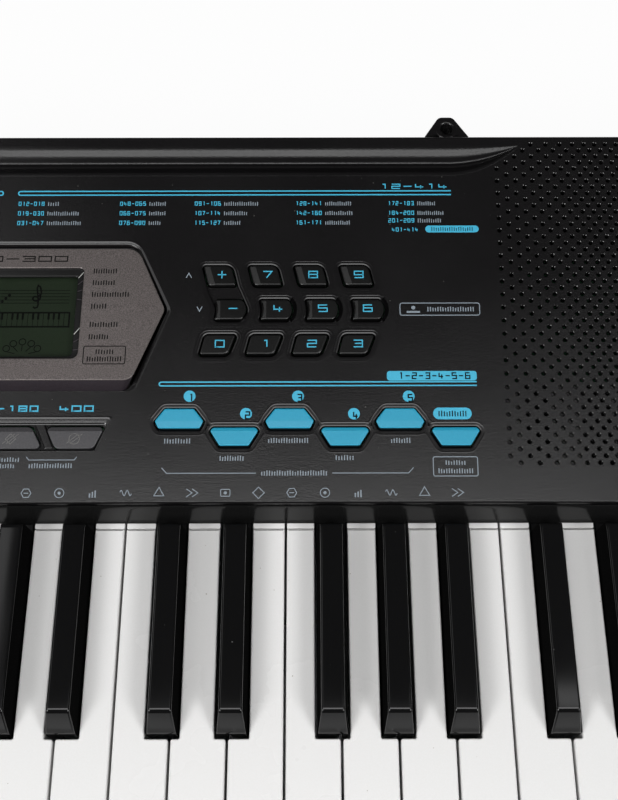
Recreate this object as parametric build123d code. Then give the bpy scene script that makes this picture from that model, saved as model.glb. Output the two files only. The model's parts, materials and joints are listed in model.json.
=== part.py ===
from build123d import *
import math
import os

# Arranger keyboard with 61 keys, in millimetres.
# X runs from the bass end to the treble end, Y to the rear, Z up from the floor under the feet.
# Panel places are given as x along the keys, t up the slope from the panel's front edge, and h above the surface.

# Envelope of the instrument
LENGTH = 949.0
DEPTH = 348.0
HEIGHT = 103.0
HALF = LENGTH / 2
FRONT_Y = -DEPTH / 2
BACK_Y = 162.0
CORNER_R = 13.0
WALL = 2.8
EDGE_R = 1.2
FOOT_H = 3.0
PARTING_Z = 40.0

# Control panel
PANEL_TILT = 9.2
PANEL_DEPTH = 174.0
PANEL_FRONT_Y = -12.0
TILT_SIN = math.sin(math.radians(PANEL_TILT))
TILT_COS = math.cos(math.radians(PANEL_TILT))
PANEL_FRONT_Z = HEIGHT - PANEL_DEPTH * TILT_SIN
PANEL_REAR_Y = PANEL_FRONT_Y + PANEL_DEPTH * TILT_COS

# Keys
OCTAVES = 5
OCTAVE = 163.1
PITCH = OCTAVE / 7
KEY_GAP = 1.1
BAY_HALF = 420.2
WHITE_TOP = 62.5
WHITE_BOTTOM = 42.5
WHITE_FRONT_Y = -161.0
WHITE_SHELL = 1.9
LEDGE_Y = -19.3
LEDGE_DROP = 0.7
NOTCH_Y = -108.0
NOTCH_W = 14.3
BLACK_W = 12.4
BLACK_TOP_W = 9.3
BLACK_RISE = 12.0
BLACK_BOTTOM = 46.0
BLACK_FRONT_Y = -106.5
BLACK_TOP_FRONT_Y = -99.0
BLACK_REAR_Y = -20.0
BLACK_CENTRES = {"cs": 20.3, "ds": 48.5, "fs": 89.5, "gs": 116.2, "as": 142.8}
TAIL_Y = 51.0
PIVOT_Y = 42.0
PIVOT_Z = 52.0
ROD_R = 1.5
ROD_BORE_R = 1.56
PLUNGER_Y = -40.0

# Front rail and fallboard
RAIL_TOP = 47.0
RAIL_REAR_Y = -162.5
FALLBOARD_FOOT_Y = -16.0
FALLBOARD_FOOT_Z = 63.3
FALLBOARD_T = 2.3

# Music stand ledge and tabs
TROUGH_FRONT_T = 154.8
TROUGH_VALLEY_T = 160.0
TROUGH_REAR_T = 169.5
TROUGH_DEPTH = 4.5
TROUGH_HALF = 216.0
TROUGH_TIP = 248.4
TROUGH_FADES = [(0, 0.0), (11, 0.1), (18.5, 0.32), (25, 0.6)]
TAB_X = 215.4
TAB_TOP = 99.5
TAB_T = 10.0
TAB_BASE_W = 20.6
TAB_END_W = 6.6
STAND_HOLE_Y = 166.9
STAND_HOLE_R = 3.0

# Display: a hexagonal plate that lies flatter than the panel, sunk at its rear and proud at its front
PLATE_REAR_T = 118.2
PLATE_REAR_H = -2.0
PLATE_APEX_T = 88.0
PLATE_FRONT_T = 55.5
PLATE_FRONT_H = 5.0
PLATE_REAR_X = 70.5
PLATE_APEX_X = 84.6
PLATE_FRONT_X = 71.0
FOOT_APEX_X = 86.8
FOOT_FRONT_T = 50.3
FOOT_FRONT_X = 72.5
RIM_REAR_T = 121.4
PLATE_T = 4.2
WINDOW_SINK = 2.2
SCREEN_X = 48.0
SCREEN_REAR_T = 108.9
SCREEN_FRONT_T = 64.1

# Pushbuttons
CAP_GAP = 0.45
WELL_DEPTH = 1.4
CAP_SKIRT_H = -5.0
FLANGE_TOP_H = -3.1
FLANGE_W = 1.1
BOARD_H = -8.0
BOARD_T = 1.6
SWITCH_TOP_H = -6.6

# Number buttons: three rows along t, and x of the first cap's left corner in each
NUMBER_W = 13.2
NUMBER_LEAN = 2.5
NUMBER_PITCH = 20.6
FRONT_FLARE = 1.2
WAIST_HOLLOW = 1.1
WAIST_BULGE = 2.4
WAIST_EXTRA = 1.2
ROW_REAR = (99.5, 109.6)
ROW_MIDDLE = (83.3, 93.4)
ROW_FRONT = (66.8, 76.6)
NUMBER_WELL = 2.1
NUMBER_TOP_H = 1.5
REAR_NAMES = ["plus_button", "number_7_button", "number_8_button", "number_9_button"]
MIDDLE_NAMES = ["minus_button", "number_4_button", "number_5_button", "number_6_button"]
FRONT_NAMES = ["number_0_button", "number_1_button", "number_2_button", "number_3_button"]
REAR_X = 101.9
MIDDLE_X = 107.7
FRONT_X = 101.0

# Voice pads
PAD_X0 = 93.3
PAD_PITCH = 24.12
PAD_TIP = 11.2
PAD_REAR = (32.4, 42.2, 36.2)
PAD_FRONT = (24.6, 33.8, 32.0)
PAD_SHORT = 6.6
PAD_LONG = 9.3
PAD_WELL = 2.0
PAD_TOP_H = 1.7

# Function buttons, in a wedge-shaped recess
FUNCTION_X = {"song_button": -7.6, "rhythm_button": 20.2, "tone_button": 47.95}
FUNCTION_T = (24.1, 34.4)
FUNCTION_NARROW = 8.3
FUNCTION_WIDE = 12.9
FUNCTION_TOP_H = 0.7
RECESS_REAR_T = 38.5
RECESS_FLOOR_T = 36.3
RECESS_FRONT_T = 23.0
RECESS_CENTRE_X = 20.2
RECESS_REAR_HALF = 43.7
RECESS_FRONT_HALF = 37.1
RECESS_DEPTH = 2.0

# Left half of the panel
STYLE_X = [-170.0, -148.0, -126.0, -104.0]
STYLE_T = [72.0, 92.0]
STYLE_W = 16.0
STYLE_D = 9.0
POWER_X = -205.0
POWER_T = 70.0
POWER_R = 6.0
VOLUME_X = -205.0
VOLUME_T = 95.0
VOLUME_R = 10.0
VOLUME_H = 9.0

# Loudspeakers and their perforation
SPEAKER_X = 355.0
SPEAKER_T = 98.0
SPEAKER_R = 50.0
GRILLE_PITCH = 11.0
GRILLE_HOLE_R = 2.0

# Underside
FRAME_Z = 20.0
FRAME_T = 2.5
TUB_HALF_X = 96.0
TUB_FRONT_Y = 62.0
TUB_REAR_Y = 136.0
TUB_TOP_Z = 42.0
TUB_WALL = 2.2
COVER_LAP = 2.5
MAIN_X0 = 180.0
MAIN_X1 = 330.0
MAIN_Z = 10.0
SCREWS = [(447.0, -125.0), (447.0, 0.0), (447.0, 130.0), (165.0, 147.0)]
SCREW_HEAD_Z = 28.0
SCREW_R = 1.45
SCREW_LENGTH = 20.0
FEET = [(430.0, -148.0), (430.0, 138.0), (130.0, -148.0), (130.0, 138.0)]
FOOT_R = 9.0

# Sockets at the rear, seen from behind: centre x, bore radius, bore depth
SOCKET_Z = 25.0
SOCKETS = {"phones": (-210.0, 3.2, 20.0), "sustain": (-236.0, 3.2, 20.0), "audio": (-262.0, 1.8, 14.0)}
USB_X = -288.0
USB_W = 8.6
USB_H = 7.8
USB_DEEP = 9.0
INLET_X = -318.0
INLET_R = 2.9
INLET_DEEP = 9.0

PANEL = Plane(
    origin=(0, PANEL_FRONT_Y, PANEL_FRONT_Z),
    x_dir=(1, 0, 0),
    z_dir=(0, -TILT_SIN, TILT_COS),
)
PLATE_RUN = math.hypot(PLATE_REAR_T - PLATE_FRONT_T, PLATE_FRONT_H - PLATE_REAR_H)
PLATE_COS = (PLATE_REAR_T - PLATE_FRONT_T) / PLATE_RUN
PLATE_SIN = (PLATE_FRONT_H - PLATE_REAR_H) / PLATE_RUN


def panel_point(x, t, h=0.0):
    """A point given in panel terms, in the instrument's own axes."""
    return PANEL.from_local_coords(Vector(x, t, h))


DISPLAY = Plane(
    origin=panel_point(0, PLATE_REAR_T, PLATE_REAR_H),
    x_dir=(1, 0, 0),
    z_dir=panel_point(0, PLATE_SIN, PLATE_COS) - panel_point(0, 0, 0),
)


def box(x0, x1, y0, y1, z0, z1):
    """A block between two corners."""
    centre = Pos((x0 + x1) / 2, (y0 + y1) / 2, (z0 + z1) / 2)
    return centre * Box(x1 - x0, y1 - y0, z1 - z0)


def rod_z(x, y, r, z0, z1):
    """An upright cylinder."""
    return Pos(x, y, (z0 + z1) / 2) * Cylinder(r, z1 - z0)


def rod_y(x, z, r, y0, y1):
    """A cylinder along Y."""
    return Pos(x, (y0 + y1) / 2, z) * Rot(90, 0, 0) * Cylinder(r, y1 - y0)


def rod_x(y, z, r, x0, x1):
    """A cylinder along X."""
    return Pos((x0 + x1) / 2, y, z) * Rot(0, 90, 0) * Cylinder(r, x1 - x0)


def side_prism(points, radii, x0, x1):
    """A side outline in Y and Z with rounded corners, carried along X."""
    border = FilletPolyline(*points, radius=radii, close=True)
    face = make_face(Plane.YZ * border)
    return Pos(x0, 0, 0) * extrude(face, x1 - x0, dir=(1, 0, 0))


def outline(points, radii):
    """A closed flat outline with its own radius at each corner, as a sketch."""
    return make_face(FilletPolyline(*points, radius=radii, close=True))


def on_panel(sketch, h0, h1):
    """A flat sketch carried from height h0 to h1 above the panel."""
    return PANEL * Pos(0, 0, h0) * extrude(sketch, h1 - h0, dir=(0, 0, 1))


def hull(points):
    """The convex solid round points given in panel terms."""
    return PANEL * ConvexPolyhedron(points)


def plan_block(inset, z0, z1):
    """The instrument's outline seen from above, drawn in by inset."""
    depth = BACK_Y - FRONT_Y - 2 * inset
    sketch = RectangleRounded(LENGTH - 2 * inset, depth, CORNER_R - inset)
    return Pos(0, (FRONT_Y + BACK_Y) / 2, z0) * extrude(sketch, z1 - z0)


def mirrored(places):
    """Each place and its mirror image on the other side of X = 0."""
    return [(side * x, y) for x, y in places for side in (-1, 1)]


def lean_cap(x, row, lean):
    """Number button outline: a slanted rectangle with one large rounded corner."""
    t0, t1 = row
    if lean > 0:
        points = [(x + lean, t0), (x + lean + NUMBER_W, t0), (x + NUMBER_W, t1), (x, t1)]
        radii = [2.4, 1.2, 3.6, 1.2]
    else:
        points = [(x, t0), (x + NUMBER_W, t0), (x + NUMBER_W - lean + FRONT_FLARE, t1), (x - lean, t1)]
        radii = [1.2, 3.6, 1.2, 2.4]
    return outline(points, radii)


def waist_cap(x, row):
    """Number button outline of the middle row: hollow on the left, bulging on the right."""
    t0, t1 = row
    middle = (t0 + t1) / 2
    far = x + NUMBER_W + WAIST_EXTRA
    corner = far - WAIST_BULGE
    left = ThreePointArc((x, t0), (x + WAIST_HOLLOW, middle), (x, t1))
    rear = Line((x, t1), (corner, t1))
    right = ThreePointArc((corner, t1), (far, middle), (corner, t0))
    front = Line((corner, t0), (x, t0))
    sketch = make_face(Curve() + [left, rear, right, front])
    return fillet(sketch.vertices(), 1.1)


def pad_cap(index):
    """Voice pad outline: a six-sided cap, long side to the front or to the rear in turn."""
    x = PAD_X0 + PAD_PITCH * index
    rear_pad = index % 2 == 0
    t0, t1, tip = PAD_REAR if rear_pad else PAD_FRONT
    front_half = PAD_LONG if rear_pad else PAD_SHORT
    rear_half = PAD_SHORT if rear_pad else PAD_LONG
    points = [
        (x - front_half, t0),
        (x + front_half, t0),
        (x + PAD_TIP, tip),
        (x + rear_half, t1),
        (x - rear_half, t1),
        (x - PAD_TIP, tip),
    ]
    return outline(points, [1.0, 1.0, 0.6, 1.0, 1.0, 0.6])


def function_cap(name):
    """Function button outline: a trapezoid, narrow to the front, or to the rear for the middle one."""
    x = FUNCTION_X[name]
    t0, t1 = FUNCTION_T
    middle = name == "rhythm_button"
    front_half = FUNCTION_WIDE + 0.8 if middle else FUNCTION_NARROW
    rear_half = FUNCTION_NARROW + 0.3 if middle else FUNCTION_WIDE
    points = [(x - front_half, t0), (x + front_half, t0), (x + rear_half, t1), (x - rear_half, t1)]
    return outline(points, [2.0, 2.0, 1.6, 1.6])


def number_caps():
    """Name and outline of every number button."""
    caps = []
    for i, name in enumerate(REAR_NAMES):
        caps.append((name, lean_cap(REAR_X + NUMBER_PITCH * i, ROW_REAR, NUMBER_LEAN)))
    for i, name in enumerate(MIDDLE_NAMES):
        caps.append((name, waist_cap(MIDDLE_X + NUMBER_PITCH * i, ROW_MIDDLE)))
    for i, name in enumerate(FRONT_NAMES):
        caps.append((name, lean_cap(FRONT_X + NUMBER_PITCH * i, ROW_FRONT, -NUMBER_LEAN)))
    return caps


def style_caps():
    """Outlines of the small style buttons on the left of the panel."""
    return [Pos(x, t) * RectangleRounded(STYLE_W, STYLE_D, 2.0) for t in STYLE_T for x in STYLE_X]


def mirrored_pad(index):
    """A pad outline on the left of the panel."""
    return mirror(pad_cap(index), Plane.YZ)


def button_solid(sketch, top_h, bevel=0.5):
    """A pushbutton: a cap through the panel, with a flange under it that keeps it in."""
    cap = extrude(sketch, top_h - CAP_SKIRT_H)
    cap = chamfer(cap.faces().sort_by(Axis.Z)[-1].edges(), bevel)
    flange = extrude(offset(sketch, FLANGE_W), FLANGE_TOP_H - CAP_SKIRT_H)
    return PANEL * Pos(0, 0, CAP_SKIRT_H) * (cap + flange)


def minus_link():
    """The slanted channel that joins the wells of the plus and minus buttons."""
    points = [
        (MIDDLE_X - 1.9, ROW_MIDDLE[0] + 4.0),
        (MIDDLE_X + NUMBER_W + 3.0, ROW_MIDDLE[0] + 4.0),
        (REAR_X + NUMBER_W + NUMBER_LEAN + 0.9, ROW_REAR[0] + 4.0),
        (REAR_X - 0.9, ROW_REAR[0] + 4.0),
    ]
    return outline(points, [0.5, 0.5, 0.5, 0.5])


def panel_openings():
    """Everything cut into the panel for buttons: wells, then the holes through their floors."""
    wells = []
    holes = []
    for _, sketch in number_caps():
        wells.append(offset(sketch, NUMBER_WELL))
        holes.append(offset(sketch, CAP_GAP))
    wells.append(minus_link())
    for i in range(6):
        for sketch in (pad_cap(i), mirrored_pad(i)):
            wells.append(offset(sketch, PAD_WELL))
            holes.append(offset(sketch, CAP_GAP))
    for sketch in style_caps():
        wells.append(offset(sketch, NUMBER_WELL))
        holes.append(offset(sketch, CAP_GAP))
    for name in FUNCTION_X:
        holes.append(offset(function_cap(name), CAP_GAP))
    holes.append(Pos(POWER_X, POWER_T) * Circle(POWER_R + CAP_GAP))
    holes.append(Pos(VOLUME_X, VOLUME_T) * Circle(3.4))
    well_cut = extrude(Sketch() + wells, WELL_DEPTH + 2)
    hole_cut = extrude(Sketch() + holes, 12)
    return [PANEL * Pos(0, 0, -WELL_DEPTH) * well_cut, PANEL * Pos(0, 0, -6) * hole_cut]


def function_recess():
    """The wedge-shaped recess round the function buttons, deep at the rear and flush at the front."""
    x = RECESS_CENTRE_X
    points = []
    for side in (-1, 1):
        points.append((x + side * RECESS_REAR_HALF, RECESS_REAR_T, 0))
        points.append((x + side * (RECESS_REAR_HALF - 1.5), RECESS_FLOOR_T, -RECESS_DEPTH))
        points.append((x + side * RECESS_FRONT_HALF, RECESS_FRONT_T, -0.4))
        points.append((x + side * RECESS_REAR_HALF, RECESS_REAR_T, 1))
        points.append((x + side * RECESS_FRONT_HALF, RECESS_FRONT_T, 1))
    return hull(points)


def trough_cut():
    """The ledge groove for a music sheet: a V across the rear of the panel, with blade-shaped ends."""
    points = []
    for run, fade in TROUGH_FADES:
        front = TROUGH_FRONT_T + fade * (TROUGH_REAR_T - TROUGH_FRONT_T)
        valley = TROUGH_VALLEY_T + fade * (TROUGH_REAR_T - TROUGH_VALLEY_T)
        depth = TROUGH_DEPTH * (1 - fade)
        for side in (-1, 1):
            x = side * (TROUGH_HALF + run)
            points.append((x, front, 0))
            points.append((x, front, 1))
            points.append((x, valley, -depth))
            points.append((x, TROUGH_REAR_T, 0))
            points.append((x, TROUGH_REAR_T, 1))
    for side in (-1, 1):
        points.append((side * TROUGH_TIP, TROUGH_REAR_T, 0))
        points.append((side * TROUGH_TIP, TROUGH_REAR_T, 1))
    return hull(points)


def display_cuts():
    """The opening that holds the display, and the bevel behind it."""
    foot = [
        (-FOOT_FRONT_X, FOOT_FRONT_T),
        (FOOT_FRONT_X, FOOT_FRONT_T),
        (FOOT_APEX_X, PLATE_APEX_T),
        (PLATE_REAR_X, PLATE_REAR_T),
        (-PLATE_REAR_X, PLATE_REAR_T),
        (-FOOT_APEX_X, PLATE_APEX_T),
    ]
    opening = on_panel(Polygon(*foot, align=None), -12, 6)
    bevel = []
    for side in (-1, 1):
        for h in (0, 1):
            bevel.append((side * (PLATE_REAR_X + 1.8), RIM_REAR_T, h))
            bevel.append((side * (FOOT_APEX_X + 1.2), PLATE_APEX_T, h))
        bevel.append((side * PLATE_REAR_X, PLATE_REAR_T, PLATE_REAR_H))
        bevel.append((side * FOOT_APEX_X, PLATE_APEX_T, -0.1))
    return [opening, hull(bevel)]


def panel_edge_cut():
    """What rounds the panel's front edge above the keys."""
    r = EDGE_R
    z = PANEL_FRONT_Z + (r * TILT_SIN - r) / TILT_COS
    block = box(-BAY_HALF, BAY_HALF, PANEL_FRONT_Y - 1, PANEL_FRONT_Y + r * (1 - TILT_SIN), z, z + r + 1)
    return block - rod_x(PANEL_FRONT_Y + r, z, r, -BAY_HALF - 1, BAY_HALF + 1)


def grille_cut(side):
    """Round holes over one loudspeaker, in staggered rows."""
    rows = int(SPEAKER_R / (GRILLE_PITCH * 0.866))
    places = []
    for row in range(-rows, rows + 1):
        t = row * GRILLE_PITCH * 0.866
        shift = GRILLE_PITCH / 2 if row % 2 else 0.0
        for column in range(-6, 7):
            x = column * GRILLE_PITCH + shift
            if math.hypot(x, t) < SPEAKER_R - 5:
                places.append(Pos(side * SPEAKER_X + x, SPEAKER_T + t) * Circle(GRILLE_HOLE_R))
    return PANEL * Pos(0, 0, -6) * extrude(Sketch() + places, 12)


def stand_tab(side):
    """A tab behind the rear edge with an upright hole for one leg of a music stand."""
    x = side * TAB_X
    half = TAB_BASE_W / 2
    end = TAB_END_W / 2
    base_y = BACK_Y - 1.5
    points = [
        (x - half, base_y),
        (x + half, base_y),
        (x + half, BACK_Y + 0.8),
        (x + end, DEPTH / 2),
        (x - end, DEPTH / 2),
        (x - half, BACK_Y + 0.8),
    ]
    plan = outline(points, [0, 0, 1.0, 3.0, 3.0, 1.0])
    tab = Pos(0, 0, TAB_TOP - TAB_T) * extrude(plan, TAB_T)
    return tab - rod_z(x, STAND_HOLE_Y, STAND_HOLE_R, TAB_TOP - TAB_T - 1, TAB_TOP + 1)


def upper_bosses(envelope):
    """Hollow posts that take the case screws, and short posts that carry the button boards."""
    posts = []
    for x, y in mirrored(SCREWS):
        post = rod_z(x, y, 4.5, PARTING_Z, HEIGHT) & envelope
        posts.append(post - rod_z(x, y, SCREW_R, PARTING_Z - 1, PARTING_Z + 14))
    for x in (90.0, 230.0):
        for t in (50.0, 120.0):
            for side in (-1, 1):
                post = Pos(side * x, t, (BOARD_H - 2) / 2) * Cylinder(2.5, -BOARD_H - 2)
                posts.append(PANEL * post)
    return posts


def upper_case():
    """The top shell: control panel, end cheeks, front rail and rear wall in one moulding."""
    outer_side = [
        (FRONT_Y, PARTING_Z),
        (FRONT_Y, 55.0),
        (-161.0, 66.0),
        (PANEL_FRONT_Y, PANEL_FRONT_Z),
        (PANEL_REAR_Y, HEIGHT),
        (BACK_Y, HEIGHT - 3.0),
        (BACK_Y, PARTING_Z),
    ]
    inner_side = [
        (FRONT_Y + WALL, PARTING_Z - 1),
        (FRONT_Y + WALL, 53.5),
        (-160.0, 63.2),
        (PANEL_FRONT_Y, PANEL_FRONT_Z - WALL / TILT_COS),
        (137.0, PANEL_FRONT_Z + 149.0 * TILT_SIN / TILT_COS - WALL / TILT_COS),
        (141.0, HEIGHT - 13.0),
        (BACK_Y - WALL, HEIGHT - 13.0),
        (BACK_Y - WALL, PARTING_Z - 1),
    ]
    envelope = side_prism(outer_side, [0, 7, 9, 0, 1.5, 1.5, 0], -HALF, HALF)
    envelope = envelope & plan_block(0, PARTING_Z, HEIGHT + 1)
    hollow = side_prism(inner_side, [0, 4, 6, 0, 0, 0, 0, 0], -HALF + WALL, HALF - WALL)
    hollow = hollow & plan_block(WALL, PARTING_Z - 2, HEIGHT)
    bay_wall = BAY_HALF + WALL
    bay_block = box(-bay_wall, bay_wall, FRONT_Y - 1, PANEL_FRONT_Y, 0, HEIGHT)
    shell = envelope - (hollow - bay_block)
    shell = shell - box(-BAY_HALF, BAY_HALF, FRONT_Y - 1, PANEL_FRONT_Y, 0, HEIGHT)
    rail_points = [
        (FRONT_Y, PARTING_Z),
        (FRONT_Y, RAIL_TOP),
        (RAIL_REAR_Y, RAIL_TOP),
        (RAIL_REAR_Y, PARTING_Z),
        (RAIL_REAR_Y - WALL, PARTING_Z),
        (RAIL_REAR_Y - WALL, RAIL_TOP - WALL),
        (FRONT_Y + WALL, RAIL_TOP - WALL),
        (FRONT_Y + WALL, PARTING_Z),
    ]
    rail = side_prism(rail_points, [0, 2.4, 1.6, 0, 0, 0, 0, 0], -BAY_HALF, BAY_HALF)
    shell = shell + rail
    shell = shell + [stand_tab(-1), stand_tab(1)] + upper_bosses(envelope)
    cuts = [trough_cut(), function_recess(), grille_cut(-1), grille_cut(1)]
    cuts.append(panel_edge_cut())
    return shell - (cuts + display_cuts() + panel_openings())


def battery_tub():
    """The battery compartment's walls and roof, open downwards through the floor."""
    outer = box(
        -TUB_HALF_X - TUB_WALL,
        TUB_HALF_X + TUB_WALL,
        TUB_FRONT_Y - TUB_WALL,
        TUB_REAR_Y + TUB_WALL,
        FOOT_H,
        TUB_TOP_Z + TUB_WALL,
    )
    inner = box(-TUB_HALF_X, TUB_HALF_X, TUB_FRONT_Y, TUB_REAR_Y, FOOT_H - 1, TUB_TOP_Z)
    return outer, inner


def lower_case():
    """The bottom shell: floor, skirt, ribs under the key frame, battery compartment and screw posts."""
    outer_side = [
        (FRONT_Y, PARTING_Z),
        (FRONT_Y, 19.0),
        (-160.0, FOOT_H),
        (150.0, FOOT_H),
        (BACK_Y, 15.0),
        (BACK_Y, PARTING_Z),
    ]
    inner_side = [
        (FRONT_Y + WALL, PARTING_Z + 1),
        (FRONT_Y + WALL, 20.0),
        (-158.8, FOOT_H + WALL),
        (148.8, FOOT_H + WALL),
        (BACK_Y - WALL, 16.2),
        (BACK_Y - WALL, PARTING_Z + 1),
    ]
    envelope = side_prism(outer_side, [0, 5, 8, 8, 5, 0], -HALF, HALF)
    envelope = envelope & plan_block(0, 0, PARTING_Z)
    hollow = side_prism(inner_side, [0, 3, 6, 6, 3, 0], -HALF + WALL, HALF - WALL)
    hollow = hollow & plan_block(WALL, 0, PARTING_Z + 1)
    shell = envelope - hollow
    tub_outer, tub_inner = battery_tub()
    adds = [tub_outer]
    for x in (-400.0, -200.0, 0.0, 200.0, 400.0):
        adds.append(box(x - 1.5, x + 1.5, -150.0, 56.0, FOOT_H + 1, FRAME_Z))
    for x, y in mirrored(SCREWS):
        adds.append(rod_z(x, y, 5.5, FOOT_H + 1, PARTING_Z))
    for x in (MAIN_X0 + 8, MAIN_X1 - 8):
        for y in (80.0, 140.0):
            adds.append(rod_z(x, y, 3.0, FOOT_H + 1, MAIN_Z))
    for x in (-335.0, -195.0):
        adds.append(rod_z(x, 136.0, 3.0, FOOT_H + 1, 12.0))
    shell = shell + adds
    cuts = [tub_inner]
    lap = COVER_LAP
    cuts.append(
        box(-TUB_HALF_X - lap, TUB_HALF_X + lap, TUB_FRONT_Y - lap, TUB_REAR_Y + lap, FOOT_H - 1, FOOT_H + 2.0)
    )
    for x, y in mirrored(SCREWS):
        cuts.append(rod_z(x, y, 3.6, FOOT_H - 1, SCREW_HEAD_Z))
        cuts.append(rod_z(x, y, 1.8, FOOT_H, PARTING_Z + 1))
    wall0 = BACK_Y - WALL - 6
    for x, bore, _ in SOCKETS.values():
        cuts.append(rod_y(x, SOCKET_Z, bore + 2.7, wall0, BACK_Y + 1))
    cuts.append(box(USB_X - 7, USB_X + 7, wall0, BACK_Y + 1, SOCKET_Z - 6.5, SOCKET_Z + 6.5))
    cuts.append(rod_y(INLET_X, SOCKET_Z, INLET_R + 2.7, wall0, BACK_Y + 1))
    return shell - cuts


def battery_cover():
    """The lid of the battery compartment, flush with the floor, with a finger notch and a tongue."""
    gap = 0.4
    lap = COVER_LAP - gap
    lid = box(
        -TUB_HALF_X - lap,
        TUB_HALF_X + lap,
        TUB_FRONT_Y - lap,
        TUB_REAR_Y + lap,
        FOOT_H,
        FOOT_H + 1.7,
    )
    inside = box(
        -TUB_HALF_X + gap,
        TUB_HALF_X - gap,
        TUB_FRONT_Y + gap,
        TUB_REAR_Y - gap,
        FOOT_H + 1.7,
        FOOT_H + 3.0,
    )
    finger = box(-14, 14, TUB_FRONT_Y + 2, TUB_FRONT_Y + 12, FOOT_H - 0.5, FOOT_H + 1.0)
    return lid + inside - finger


def fallboard_strip():
    """The glossy strip behind the keys, leaning back to the panel's edge, with its fixing flange."""
    under_z = PANEL_FRONT_Z - WALL / TILT_COS
    foot_y = FALLBOARD_FOOT_Y
    top_y = PANEL_FRONT_Y - 0.6
    slope = TILT_SIN / TILT_COS
    points = [
        (foot_y, FALLBOARD_FOOT_Z),
        (top_y, under_z - 0.1),
        (PANEL_FRONT_Y, under_z - 0.05),
        (-2.0, under_z + 10.0 * slope - 0.05),
        (-2.0, under_z + 10.0 * slope - 2.1),
        (top_y + FALLBOARD_T, under_z - 2.2),
        (foot_y + FALLBOARD_T, FALLBOARD_FOOT_Z),
    ]
    return side_prism(points, [0.6, 0, 0, 0, 0, 0, 0.6], -BAY_HALF + 0.3, BAY_HALF - 0.3)


def plate_y(t):
    """Distance along the display plate, from its rear edge, of the point above panel place t."""
    return -(PLATE_REAR_T - t) / PLATE_COS


def display_bezel():
    """The hexagonal display surround: a flat plate with sloping walls, hollow below."""
    top = []
    for side in (-1, 1):
        top.append((side * PLATE_REAR_X, PLATE_REAR_T, PLATE_REAR_H))
        rise = PLATE_REAR_H + (PLATE_REAR_T - PLATE_APEX_T) * PLATE_SIN / PLATE_COS
        top.append((side * PLATE_APEX_X, PLATE_APEX_T, rise))
        top.append((side * PLATE_FRONT_X, PLATE_FRONT_T, PLATE_FRONT_H))
    foot = []
    for side in (-1, 1):
        for h in (0.0, -WALL):
            foot.append((side * FOOT_APEX_X, PLATE_APEX_T, h))
            foot.append((side * FOOT_FRONT_X, FOOT_FRONT_T, h))
        foot.append((side * PLATE_REAR_X, PLATE_REAR_T, -WALL - 2.4))
        foot.append((side * FOOT_APEX_X, PLATE_APEX_T, -WALL - 2.4))
        foot.append((side * FOOT_FRONT_X, FOOT_FRONT_T, -WALL - 2.4))
    body = hull(top + foot)
    inset = 2.6
    inner = [
        (-PLATE_FRONT_X + inset, PLATE_FRONT_T - 1.0),
        (PLATE_FRONT_X - inset, PLATE_FRONT_T - 1.0),
        (PLATE_APEX_X - inset, PLATE_APEX_T),
        (PLATE_REAR_X - inset, PLATE_REAR_T - inset),
        (-PLATE_REAR_X + inset, PLATE_REAR_T - inset),
        (-PLATE_APEX_X + inset, PLATE_APEX_T),
    ]
    room = on_panel(Polygon(*inner, align=None), -20, 12)
    below = DISPLAY * box(-100, 100, -90, 20, -30, -PLATE_T)
    body = body - (room & below)
    window = on_display(SCREEN_X, SCREEN_REAR_T, SCREEN_FRONT_T, -WINDOW_SINK - 1.2, 1)
    sight = on_display(SCREEN_X - 2, SCREEN_REAR_T - 2, SCREEN_FRONT_T + 2, -PLATE_T - 1, 0)
    return body - [window, sight]


def on_display(half, rear_t, front_t, z0, z1):
    """A block square to the display plate, placed by panel distances."""
    return DISPLAY * box(-half, half, plate_y(front_t), plate_y(rear_t), z0, z1)


def display_window():
    """The clear pane over the screen."""
    fit = 0.1
    return on_display(
        SCREEN_X - fit,
        SCREEN_REAR_T - fit,
        SCREEN_FRONT_T + fit,
        -WINDOW_SINK - 1.2,
        -WINDOW_SINK,
    )


def lcd_module():
    """The screen: a glass sandwich on a shallow tray with its backlight."""
    tray = on_display(SCREEN_X + 4, SCREEN_REAR_T + 3, SCREEN_FRONT_T - 3, -PLATE_T - 6.5, -PLATE_T - 1.6)
    glass = on_display(SCREEN_X + 2, SCREEN_REAR_T + 1, SCREEN_FRONT_T - 1, -PLATE_T - 1.6, -PLATE_T)
    return tray + glass


def white_key_names():
    """Names of the 36 white keys from the bass end, such as c5."""
    return [f"{'cdefgab'[k % 7]}{2 + k // 7}" for k in range(36)]


def black_key_places():
    """Names and centres of the 25 black keys from the bass end."""
    places = []
    for octave in range(OCTAVES):
        start = -PITCH * 18 + OCTAVE * octave
        for note, shift in BLACK_CENTRES.items():
            places.append((f"{note}{2 + octave}", start + shift))
    return places


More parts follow.
